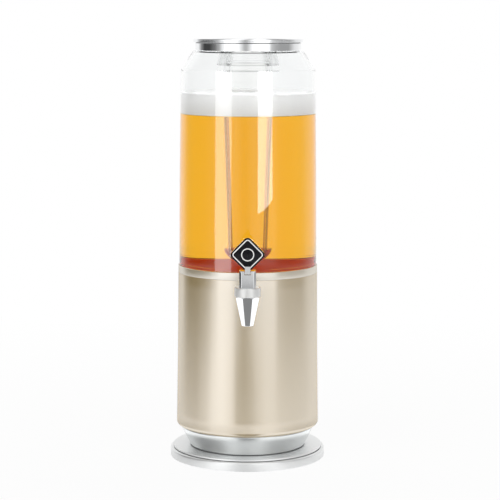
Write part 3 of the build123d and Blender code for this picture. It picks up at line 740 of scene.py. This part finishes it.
def beerSection():
    # the beer laps a little into the wall that it wets, and closes round the ice tube
    lap = drinkLevels["lap"]
    inset = boxLook["wall"] - lap
    lower = boxLook["lowerRadius"] - inset
    floor = box.bottom + boxLook["floor"] - lap
    top = drinkLevels["beerTop"]
    outer = wallPoints(inset, drinkLevels["wallFrom"], top, beerLook["wallSteps"])
    return [(0, floor), (lower, floor, boxLook["floorRound"]),
            (lower, boxLook["seat"] - drinkLevels["seatGap"])] + outer + [(0, top)]


def foamSection():
    lap = drinkLevels["lap"]
    low, high = drinkLevels["beerTop"] - 2 * lap, drinkLevels["foamTop"]
    outer = wallPoints(boxLook["wall"] - lap / 2, low, high, foamLook["wallSteps"])
    edge, hole = outer[-1][0], tubeRadius(high) - lap
    rings = foamLook["topRings"]
    top = [(edge + (hole - edge) * ring / rings, high) for ring in range(1, rings + 1)]
    return outer + top + [(tubeRadius(low) - lap, low)]


def heapFoam(piece):
    # lifts and sinks the foam's open surface in soft heaps of two sizes
    free = piece.vertex_groups.new(name="open")
    level = (drinkLevels["foamTop"] - near) * mm
    free.add([vertex.index for vertex in piece.data.vertices if vertex.co.z > level], 1, "REPLACE")
    for kind, size, strength in foamLook["heaps"]:
        heap = bpy.data.textures.new("foam" + kind.title(), kind)
        heap.noise_scale = size
        modify(piece, "DISPLACE", texture=heap, texture_coords="GLOBAL", direction="Z",
               strength=strength, mid_level=foamLook["sunk"], vertex_group="open")


beer = turnPiece("beer", beerSection(), 256)
dress(beer, "beerPaint", "clear_plastic", "root")
foam = turnPiece("foam", foamSection(), 224)
heapFoam(foam)
dress(foam, "foamPaint", "clear_plastic", "root")
dress(container, "clearWall", "clear_plastic", "root", "container")
lineInside(container, "clearInside")
paintBand(container, "clearNeck", ledgeHeight, box.top)
print("container, beer and foam made")


neck = Span("neck_ring")
neckLook = {
    "bore": 57.5, "lip": 1.4, "edge": 0.25, "lowerEdge": 0.3, "innerBore": 54.5, "boreEdge": 0.2,
    "gap": 0.55, "gapDepth": 1.2}
gapFloor = neck.top - neckLook["gap"]
neckRing = turnPiece("neckRing", [
    (neckLook["bore"], neck.bottom), (neck.radius, neck.bottom, neckLook["lowerEdge"]),
    (neck.radius, gapFloor, neckLook["edge"]), (neck.radius - neckLook["gapDepth"], gapFloor),
    (neck.radius - neckLook["gapDepth"], neck.top), (neckLook["innerBore"], neck.top, neckLook["boreEdge"]),
    (neckLook["innerBore"], neck.top - neckLook["lip"]), (neckLook["bore"], neck.top - neckLook["lip"])], 224)
dress(neckRing, "chromePaint", "chrome", "root", "neck_ring")
# painted shade: the faces inside the gap at the top are black
paintBand(neckRing, "blackRubber", gapFloor, neck.top)

lid = Span("lid_shell")
lidLook = {
    "rimHeight": 3.7, "panel": 1.6, "recess": 52.0, "recessDepth": 6.0, "draft": 2.4, "plug": 53.7,
    "skirt": 52.1, "edge": 0.4, "beadRound": 0.22, "grooveRise": 1.75, "grooveHalf": 0.3, "grooveDepth": 0.6,
    "grooveRound": 0.15, "recessEdge": 0.7, "recessRound": 1.4, "fall": 0.5, "gasketBottom": 459.6,
    "gasketTop": 461.8, "gasketGroove": 52.9, "vent": 2.0, "ventOffset": 42.0, "ventDepth": 8.0}


def lidSection():
    look = lidLook
    seat = lid.top - look["rimHeight"]
    groove = seat + look["grooveRise"]
    panelTop = lid.top - look["recessDepth"]
    panelBottom = panelTop - look["panel"]
    return [
        (0, panelBottom), (look["skirt"], panelBottom), (look["skirt"], lid.bottom),
        (look["plug"], lid.bottom), (look["plug"], look["gasketBottom"]),
        (look["gasketGroove"], look["gasketBottom"]), (look["gasketGroove"], look["gasketTop"]),
        (look["plug"], look["gasketTop"]), (look["plug"], seat), (lid.radius, seat, look["beadRound"]),
        (lid.radius, groove - look["grooveHalf"], look["beadRound"]),
        (lid.radius - look["grooveDepth"], groove, look["grooveRound"]),
        (lid.radius, groove + look["grooveHalf"], look["beadRound"]), (lid.radius, lid.top, look["edge"]),
        (look["recess"] + look["draft"], lid.top - look["fall"], look["recessEdge"]),
        (look["recess"], panelTop, look["recessRound"]), (0, panelTop)]


lidShell = turnPiece("lidShell", lidSection(), 224)
vent = (0, lidLook["ventOffset"], lid.top - lidLook["recessDepth"])
bore(lidShell, vent, lidLook["vent"], lidLook["ventDepth"])
dress(smooth(lidShell), "chromePaint", "chrome", "lid", "lid_shell")
paintBand(lidShell, "paleInlay", lid.bottom, lidLook["gasketBottom"])

liner = Span("lid_liner")
linerLook = {
    "thickness": 2.4, "bellTop": 29.7, "bellBottom": 35.0, "bellWall": 2.0, "spigot": 22.5,
    "spigotWall": 2.0, "spigotDepth": 16.0, "edge": 0.4, "lipRound": 0.6, "lipHeight": 1.4, "lugReach": 2.2,
    "lugRise": 2.0, "lugHeight": 3.0, "lugAngle": 36, "lugs": 3}


def linerSection():
    look = linerLook
    under = liner.top - look["thickness"]
    spigotBore = look["spigot"] - look["spigotWall"]
    spigotBottom = under - look["spigotDepth"]
    flare = (look["bellBottom"] - look["bellTop"]) / (under - liner.bottom)
    lip = look["bellBottom"] - flare * look["lipHeight"]
    lipTop = liner.bottom + look["lipHeight"]
    return [
        (0, under), (spigotBore, under), (spigotBore, spigotBottom),
        (look["spigot"], spigotBottom, look["edge"]), (look["spigot"], under),
        (look["bellTop"] - look["bellWall"], under), (lip - look["bellWall"], lipTop),
        (look["bellBottom"] - look["bellWall"], liner.bottom, look["lipRound"]),
        (look["bellBottom"], liner.bottom, look["lipRound"]), (lip, lipTop), (look["bellTop"], under),
        (liner.radius, under), (liner.radius, liner.top, look["edge"]), (0, liner.top)]


def addRound(piece, name, inner, outer, bottom, top, angle):
    # joins evenly spaced blocks to a ring: the bayonet's lugs, or the catches that take them
    count = linerLook["lugs"]
    for index in range(count):
        start = index * 360 / count - angle / 2
        cut(piece, sector(name, inner, outer, bottom, top, angle, start), "UNION")


lidLiner = turnPiece("lidLiner", linerSection(), 192)
lugLow = liner.top - linerLook["thickness"] - linerLook["spigotDepth"] + linerLook["lugRise"]
addRound(lidLiner, "lug", linerLook["spigot"] - joinLap, linerLook["spigot"] + linerLook["lugReach"],
         lugLow, lugLow + linerLook["lugHeight"], linerLook["lugAngle"])
bore(lidLiner, (0, lidLook["ventOffset"], liner.top), lidLook["vent"], lidLook["ventDepth"])
dress(smooth(lidLiner), "clearMoulding", "clear_plastic", "lid", "lid_liner")
paintBand(lidLiner, "clearLip", liner.bottom, liner.bottom + linerLook["lipHeight"])
print("lid made")


head = Span("ice_tube_head")
headLook = {
    "bore": 25.0, "ringHeight": 6.0, "tubeGap": 0.2, "edge": 0.8, "boreEdge": 0.3, "catchBore": 23.1,
    "catchLap": 0.4, "catchHeight": 2.7, "catchDrop": 0.3, "catchAngle": 56}
headInner = tubeLook["topRadius"] + headLook["tubeGap"]
headRing = head.bottom + headLook["ringHeight"]
iceTubeHead = turnPiece("iceTubeHead", [
    (headInner, head.bottom, headLook["boreEdge"]), (head.radius, head.bottom, headLook["edge"]),
    (head.radius, head.top, headLook["edge"]), (headLook["bore"], head.top, headLook["boreEdge"]),
    (headLook["bore"], headRing), (headInner, headRing)])
addRound(iceTubeHead, "catch", headLook["catchBore"], headLook["bore"] + headLook["catchLap"],
         head.top - headLook["catchHeight"], head.top - headLook["catchDrop"], headLook["catchAngle"])
dress(smooth(iceTubeHead), "clearMoulding", "clear_plastic", "ice_tube", "ice_tube_head")
paintBand(iceTubeHead, "clearLip", head.bottom, head.top, flatOnly=True)

iceTube = turnPiece("iceTube", [
    (tubeLook["topRadius"] - tubeLook["wall"], tube.top, tubeLook["edge"]),
    (tube.radius, tube.top, tubeLook["edge"]), (tube.radius, flangeBottom),
    (tubeLook["topRadius"], flangeBottom), (tubeLook["bottomRadius"], tube.bottom),
    (tubeLook["bottomRadius"] - tubeLook["wall"], tube.bottom)])
dress(iceTube, "iceTubeWall", "clear_plastic", "ice_tube", "ice_tube")

capLow, capHigh = (capLook["baseRadius"], cap.bottom), (cap.radius, cap.top)
capBore = tubeRadius(cap.top) + capLook["gap"]
capFloor = cap.bottom + capLook["floor"]
endCap = turnPiece("iceTubeEndCap", [
    capLow, *bowed(capLow, capHigh, capLook["swell"]), capHigh, (capBore, cap.top), (capBore, capFloor),
    (0, capFloor), (0, cap.bottom)], 128)
dress(endCap, "iceCapWall", "clear_plastic", "ice_tube", "ice_tube_end_cap")
print("ice tube made")


tap = Span("tap_body")
tapLook = {
    "offset": 112.0, "shankHeight": 198.0, "spoutLength": 32.0, "topFlats": 25.3, "bottomFlats": 12.1,
    "sides": 8, "outletEdge": 0.9, "scallopRadius": 30.0, "scallopRise": 13.5, "scallopInset": 0.6,
    "collarRadius": 13.9, "collarHeight": 10.0, "collarEdge": 1.4, "collarFoot": 0.7, "collarBand": 1.5,
    "chamberRadius": 9.0, "chamberDepth": 19.0, "outlet": 4.2, "barrel": 9.0, "flange": 11.0,
    "flangeFace": 80.3, "flangeThickness": 3.0, "flangeEdge": 0.8, "flangeBackEdge": 0.4, "shank": 8.0,
    "shankBore": 4.5, "shankEdge": 0.6}
tapCentre = (0, -tapLook["offset"], 0)
shankLine = (0, 0, tapLook["shankHeight"])
collarTop = tap.top
collarBottom = collarTop - tapLook["collarHeight"]


def makeSpout():
    look = tapLook
    slant = math.cos(math.pi / look["sides"])
    middle = (0, -look["offset"], (collarBottom + tap.bottom) / 2)
    dropSelection()
    bpy.ops.mesh.primitive_cone_add(
        vertices=look["sides"], radius1=look["bottomFlats"] / 2 / slant * mm,
        radius2=look["topFlats"] / 2 / slant * mm, depth=look["spoutLength"] * mm,
        rotation=(0, 0, math.pi / look["sides"]), location=Vector(middle) * mm)
    spout = settle("tapBody")

    def isOutletEdge(a, b):
        return abs(a.z - b.z) < near and a.z < tap.bottom + near

    softenEdges(spout, isOutletEdge, look["outletEdge"], 3)
    scallopFoot, scallopTop = tap.bottom - joinLap, collarBottom + near
    scallop = turnPiece("scallop", [
        (0, scallopFoot), (look["scallopRadius"], scallopFoot),
        (look["scallopRadius"], collarBottom - look["scallopRise"]),
        (look["topFlats"] / 2 - look["scallopInset"], scallopTop), (0, scallopTop)], 96, tapCentre)
    return cut(spout, scallop, "INTERSECT")


def makeCollar():
    look = tapLook
    return turnPiece("collar", [
        (0, collarBottom), (look["collarRadius"], collarBottom, look["collarFoot"]),
        (look["collarRadius"], collarTop, look["collarEdge"]), (0, collarTop)], 128, tapCentre)


def makeShank():
    # the barrel behind the collar, its flange and the threaded shank, drawn along Y
    look = tapLook
    face = -look["flangeFace"]
    front = face - look["flangeThickness"]
    return turnPiece("shankTube", [
        (0, -look["offset"]), (look["barrel"], -look["offset"]), (look["barrel"], front, look["flangeEdge"]),
        (look["flange"], front, look["flangeEdge"]), (look["flange"], face, look["flangeBackEdge"]),
        (look["shank"], face), (look["shank"], tap.back, look["shankEdge"]), (0, tap.back)],
        96, shankLine, "Y")


def boreTap(piece):
    # the valve's chamber and the outlet under it, then the bore through the shank
    look = tapLook
    floor = collarTop - look["chamberDepth"]
    cut(piece, turnPiece("chamber", [
        (0, tap.bottom - past), (look["outlet"], tap.bottom - past), (look["outlet"], floor),
        (look["chamberRadius"], floor), (look["chamberRadius"], collarTop + past), (0, collarTop + past)],
        96, tapCentre))
    cut(piece, turnPiece("shankBore", [
        (0, -look["offset"]), (look["shankBore"], -look["offset"]), (look["shankBore"], tap.back + past),
        (0, tap.back + past)], 64, shankLine, "Y"))


def isCollarSide(face):
    away = (face.center.xy / mm - Vector(tapCentre[:2])).length
    return away > tapLook["collarRadius"] - tapLook["collarBand"] and face.center.z / mm > collarBottom


tapBody = makeSpout()
cut(tapBody, makeCollar(), "UNION")
cut(tapBody, makeShank(), "UNION")
boreTap(tapBody)
dress(flattenFaces(tapBody), "chromePaint", "chrome", "root", "tap_body")
paintSome(tapBody, "collarSatin", isCollarSide)  # duller than the rest
print("tap body made")

bonnet = Span("tap_bonnet")
bonnetLook = {
    "frontRound": 3.2, "corner": 2.4, "edge": 0.5, "halfDepth": 10.0, "slotWidth": 7.0, "slotWall": 1.5,
    "slotRise": 7.0, "wallDrop": 4.0, "plugRadius": 8.95, "plugEdge": 0.4, "pocketRadius": 5.3,
    "pocketRise": 3.0, "stemBore": 2.05, "pinRadius": 1.5, "pinDrop": 3.0, "leverArm": 5.0}
pinSpot = (0, -tapLook["offset"] - bonnetLook["leverArm"], bonnet.top - bonnetLook["pinDrop"])


def makeBonnet():
    look = bonnetLook
    front, back = -tapLook["offset"] - look["halfDepth"], -tapLook["offset"] + look["halfDepth"]
    slotFloor = collarTop + look["slotRise"]
    piece = block("tapBonnet", (-bonnet.radius, front, collarTop), (bonnet.radius, back, bonnet.top))

    def isFrontCorner(a, b):
        return max(a.y, b.y) < front + near and abs(a.x - b.x) < near

    def isFrontTop(a, b):
        return max(a.y, b.y) < front + near and min(a.z, b.z) > bonnet.top - near

    softenEdges(piece, isFrontCorner, look["corner"], 1)
    softenEdges(piece, isFrontTop, look["frontRound"], 9)
    modify(piece, "BEVEL", width=look["edge"] * mm, segments=3, limit_method="ANGLE",
           angle_limit=math.radians(30))
    cut(piece, turnPiece("plug", [
        (0, bonnet.bottom), (look["plugRadius"], bonnet.bottom, look["plugEdge"]),
        (look["plugRadius"], collarTop + joinLap), (0, collarTop + joinLap)], 96, tapCentre), "UNION")
    half, over = look["slotWidth"] / 2, bonnet.top + past
    slotFront, slotBack = front + look["slotWall"], back - look["slotWall"]
    wallTop = bonnet.top - look["wallDrop"]
    cut(piece, block("slot", (-half, slotFront, slotFloor), (half, slotBack, over)))
    cut(piece, block("mouth", (-half, front - past, wallTop), (half, back + past, over)))
    pocketTop = collarTop + look["pocketRise"]
    cut(piece, turnPiece("pocket", [
        (0, bonnet.bottom - past), (look["pocketRadius"], bonnet.bottom - past),
        (look["pocketRadius"], pocketTop), (look["stemBore"], pocketTop),
        (look["stemBore"], slotFloor + joinLap), (0, slotFloor + joinLap)], 64, tapCentre))
    bore(piece, pinSpot, look["pinRadius"], 4 * bonnet.radius, (0, math.pi / 2, 0))
    return flattenFaces(piece)


tapBonnet = makeBonnet()
dress(tapBonnet, "chromePaint", "chrome", "root", "tap_bonnet")
print("bonnet made")

plate = Span("handle_plate")
inlay = Span("handle_outline")
handleLook = {
    "halfWidth": 20.0, "rise": 20.5, "corner": 4.8, "edge": 0.5, "footRise": 4.4, "notchHalf": 3.0,
    "notchRise": 7.8, "inset": 1.8, "inlayWidth": 1.15, "inlayCorner": 3.4, "ringRadius": 6.95,
    "ringWidth": 1.15, "inlayEdge": 0.2}
handleCentre = pinSpot[2] + handleLook["rise"]
handleFoot = pinSpot[2] + handleLook["footRise"]
notchTop = pinSpot[2] + handleLook["notchRise"]


def slab(name, sides, radius, front, back):
    # an upright slab that faces forwards, in line with the handle's middle
    centre = (0, (front + back) / 2, handleCentre)
    return prism(name, sides, radius, back - front, centre, (math.pi / 2, 0, 0))


def diamond(name, inset, corner, front, back):
    # a square slab on its point with rounded corners, inset evenly
    piece = slab(name, 4, handleLook["halfWidth"] - inset * math.sqrt(2), front, back)
    return softenEdges(piece, lambda a, b: abs(a.y - b.y) > near, corner, 10)


def cutForNeck(piece):
    # cuts the handle's foot level, with a notch over the lever's neck
    look = handleLook
    front, back = plate.front - past, plate.back + past
    side, low = 1.5 * look["halfWidth"], pinSpot[2] - look["halfWidth"]
    cut(piece, block("foot", (-side, front, low), (side, back, handleFoot)))
    return cut(piece, block("notch", (-look["notchHalf"], front, low), (look["notchHalf"], back, notchTop)))


def makePlate():
    look = handleLook
    piece = diamond("handlePlate", 0, look["corner"], plate.front, plate.back)
    softenEdges(piece, lambda a, b: abs(a.y - b.y) < near, look["edge"])
    return smooth(cutForNeck(piece))


def frameOf(outer, inner):
    # a flat frame with softened front edges, from two slabs
    cut(outer, inner)
    return softenEdges(outer, lambda a, b: max(a.y, b.y) < inlay.front + near, handleLook["inlayEdge"], 2)


def makeOutline():
    look = handleLook
    width = look["inlayWidth"]
    outer = diamond("handleOutline", look["inset"], look["inlayCorner"], inlay.front, inlay.back)
    inner = diamond("inner", look["inset"] + width, look["inlayCorner"] - width,
                    inlay.front - past, inlay.back + past)
    return smooth(cutForNeck(frameOf(outer, inner)))


def makeRing():
    look = handleLook
    outer = slab("handleRing", 96, look["ringRadius"], inlay.front, inlay.back)
    inner = slab("inner", 96, look["ringRadius"] - look["ringWidth"], inlay.front - past, inlay.back + past)
    return smooth(frameOf(outer, inner))


handlePlate = makePlate()
dress(handlePlate, "blackGloss", "black_gloss", "tap_lever", "handle_plate")
paintSome(handlePlate, "chromePaint", lambda face: face.normal.y > -0.3)  # bright sides and back
dress(makeOutline(), "paleInlay", "silver_inlay", "tap_lever", "handle_outline")
dress(makeRing(), "paleInlay", "silver_inlay", "tap_lever", "handle_ring")
print("handle made")

spring = Span("valve_spring")
springLook = {"radius": 4.2, "wire": 0.4, "turns": 5, "stepsPerTurn": 28, "keep": 0.8}


def makeSpring():
    # one round section, wound up the valve stem
    look = springLook
    dropSelection()
    bpy.ops.mesh.primitive_circle_add(
        vertices=12, radius=look["wire"] * mm, rotation=(math.pi / 2, 0, 0),
        location=(look["radius"] * mm, 0, (spring.bottom + look["wire"]) * mm))
    piece = settle("valveSpring")
    pitch = (spring.top - spring.bottom - 2 * look["wire"]) / look["turns"]
    modify(piece, "SCREW", axis="Z", screw_offset=pitch * mm, iterations=look["turns"],
           steps=look["stepsPerTurn"], render_steps=look["stepsPerTurn"])
    setMode("EDIT")
    selectAll()
    bpy.ops.mesh.fill_holes(sides=0)
    selectAll()
    bpy.ops.transform.translate(value=Vector(tapCentre) * mm)
    return smooth(closeUp(piece), math.radians(60))


valveSpring = makeSpring()
dress(valveSpring, "steelPaint", "steel", "root", "valve_spring")
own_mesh(valveSpring)
print("spring made")

keptNodes = {
    "steelPaint": ("base_screws", "lever_pin", "valve_stem", "valve_stem_pin"),
    "chromePaint": ("tap_lever", "tap_lock_nut"),
    "blackRubber": ("tap_outer_washer", "bonnet_oring", "stem_seal"),
    "milkySilicone": ("lid_gasket", "ice_tube_seal", "tap_inner_washer", "valve_cup"),
    "clearGasket": ("ice_tube_gasket",),
}
for paintName, names in keptNodes.items():
    for name in names:
        nodes[name].data.materials.clear()
        nodes[name].data.materials.append(paints[paintName])
print("carried-over pieces painted")

studioLook = {
    # azimuth from, azimuth to and brightness of each card round the studio, 0 towards the front
    "wall": ((-180, -137, 1.0), (-121, -119, 0.24), (-110, -92, 0.06), (-79, -77, 0.18), (-68, -66, 0.42),
             (-57, -55, 0.97), (-48, -28, 1.6), (-8, -3, 0.52), (13, 44, 1.35), (52, 53, 0.6), (63, 64, 0.44),
             (74, 98, 0.38), (120, 122, 0.85), (150, 180, 1.0)),
    "low": ((-180, -150, 1.1), (-132, -130, 0.85), (-116, -92, 0.58), (-75, -73, 0.98), (-58, -40, 1.55),
            (-26, -25, 1.1), (-17, 8, 0.2), (19, 20, 0.6), (30, 44, 0.95), (63, 111, 0.92), (134, 180, 1.1)),
    "table": ((-180, -142, 1.05), (-116, -92, 1.2), (-58, -36, 1.45), (-14, 4, 1.4), (26, 46, 1.4),
              (63, 64, 1.4), (84, 120, 1.25), (140, 180, 1.08)),
    "shelf": ((-180, -150, 0.86), (-116, -92, 0.72), (-72, -70, 0.88), (-58, -36, 1.2), (-14, 2, 0.9),
              (14, 42, 1.2), (63, 64, 0.85), (84, 120, 0.74), (150, 180, 0.86)),
    "under": ((-180, -32, 1.3), (-16, 16, 0.26), (32, 180, 1.3)),
    # the sines of the heights between which one ring of cards passes into the next
    "ceiling": 0.8, "ceilingFrom": 0.90, "ceilingTo": 0.98, "lowFrom": -0.145, "lowTo": -0.165,
    "tableFrom": -0.192, "tableTo": -0.210, "shelfFrom": -0.226, "shelfTo": -0.238,
    "underFrom": -0.32, "underTo": -0.37}


def lightStudio():
    look = studioLook
    world = bpy.data.worlds.new("studio")
    bpy.context.scene.world = world
    paint = Paint(world)
    direction = {0: paint.node("ShaderNodeTexCoord")}
    east, south, rise = (paint.node("ShaderNodeSeparateXYZ", None, direction, axis) for axis in range(3))
    azimuth = paint.node("ShaderNodeMath", {"operation": "ARCTAN2"}, {0: east, 1: 0 - south})
    turn = azimuth / (2 * math.pi) + 0.5

    def cards(name):
        stops = [((edge + 180) / 360, (tone,) * 3) for *edges, tone in look[name] for edge in edges]
        return paint.node("ShaderNodeValToRGB", {"stops": stops}, {"Fac": turn})

    def rising(name):
        return paint.ramp(rise, look[name + "From"], look[name + "To"], {"interpolation_type": "SMOOTHSTEP"})

    room = paint.tones(rising("ceiling"), cards("wall"), (look["ceiling"],) * 3)
    for name in ("low", "table", "shelf", "under"):
        room = paint.tones(rising(name), room, cards(name))
    seen = paint.lightPath("Is Camera Ray") + paint.lightPath("Is Transmission Ray") > 0.5
    colour = paint.tones(seen, room, (1, 1, 1))
    paint.finish(paint.node("ShaderNodeBackground", sockets={"Color": colour, "Strength": 1}))


softboxLook = {
    # azimuths of the sides, heights of the edges and distance in metres, turn out of square, brightness
    "softboxLeft": {
        "from": -55, "to": -27, "bottom": -0.3, "top": 1.3, "away": 1.5, "swing": 0, "glow": 5.3},
    "softboxRight": {
        "from": 16, "to": 43, "bottom": 0.165, "top": 1.4, "away": 1.5, "swing": -27, "glow": 9.3},
}


def hangSoftbox(name):
    look = softboxLook[name]
    away = look["away"]
    azimuth = math.radians((look["from"] + look["to"]) / 2)
    half = math.radians((look["to"] - look["from"]) / 2)
    width, height = 2 * away * math.tan(half), look["top"] - look["bottom"]
    spot = (away * math.sin(azimuth), -away * math.cos(azimuth), (look["top"] + look["bottom"]) / 2)
    turn = azimuth + math.radians(look["swing"])
    bpy.ops.object.light_add(type="AREA", location=spot, rotation=(math.pi / 2, 0, turn))
    softbox = bpy.context.object
    softbox.name = name
    softbox.data.shape = "RECTANGLE"
    softbox.data.size, softbox.data.size_y = width, height
    softbox.data.energy = look["glow"] * math.pi * width * height
    softbox.visible_camera = softbox.visible_transmission = False
    shone = bpy.data.collections.new(name + "Shone")  # the boxes only shine on the clear wall
    shone.objects.link(container)
    softbox.light_linking.receiver_collection = shone


# the floor passes into the background between two distances from the object, in metres
floorLook = {
    "size": 12.0, "low": (0.88, 0.88, 0.88), "high": (0.9, 0.9, 0.9), "rough": 0.9, "shine": 0.1,
    "grain": 400, "glow": 0.93, "from": 0.2, "to": 1.0}


def layFloor():
    look = floorLook
    dropSelection()
    bpy.ops.mesh.primitive_plane_add(size=look["size"], location=(0, 0, 0))
    floor = bpy.context.object
    floor.name = "floor"
    floor.visible_glossy = False
    paint = newPaint("floorPaper")
    paper = paint.surface({
        "Base Color": paint.tones(paint.noise(look["grain"]), look["low"], look["high"]),
        "Roughness": look["rough"], "Specular IOR Level": look["shine"]})
    glow = paint.node("ShaderNodeEmission", sockets={"Color": (1, 1, 1, 1), "Strength": 1})
    camera, glossy, clear = (
        paint.lightPath(f"Is {kind} Ray") for kind in ("Camera", "Glossy", "Transmission"))
    reach = paint.node("ShaderNodeVectorMath", {"operation": "LENGTH"}, {0: paint.place()}, "Value")
    far = paint.ramp(reach, look["from"], look["to"], low=look["glow"], high=1)
    share = (camera + glossy + clear > 0.5) * far
    mixed = paint.node("ShaderNodeMixShader", sockets={0: share, 1: paper, 2: glow})
    floor.data.materials.append(paint.finish(mixed))


lightStudio()
for name in softboxLook:
    hangSoftbox(name)
layFloor()
print("studio lit")

cameraLook = {
    "place": (0.0019, -2.0159, 0.4915), "tilt": 82.73, "roll": -0.13, "lens": 130.2, "sensor": 36,
    "reach": 50}
turned = [math.radians(cameraLook[key]) for key in ("tilt", "roll")]
bpy.ops.object.camera_add(location=cameraLook["place"], rotation=(*turned, 0))
camera = bpy.context.object
camera.data.sensor_width = cameraLook["sensor"]
camera.data.lens = cameraLook["lens"]
camera.data.clip_end = cameraLook["reach"]
scene = bpy.context.scene
scene.camera = camera
scene.view_settings.view_transform = "Standard"
scene.cycles.max_bounces = 32
scene.cycles.transmission_bounces = 32
scene.cycles.glossy_bounces = 12

print("scene ready")
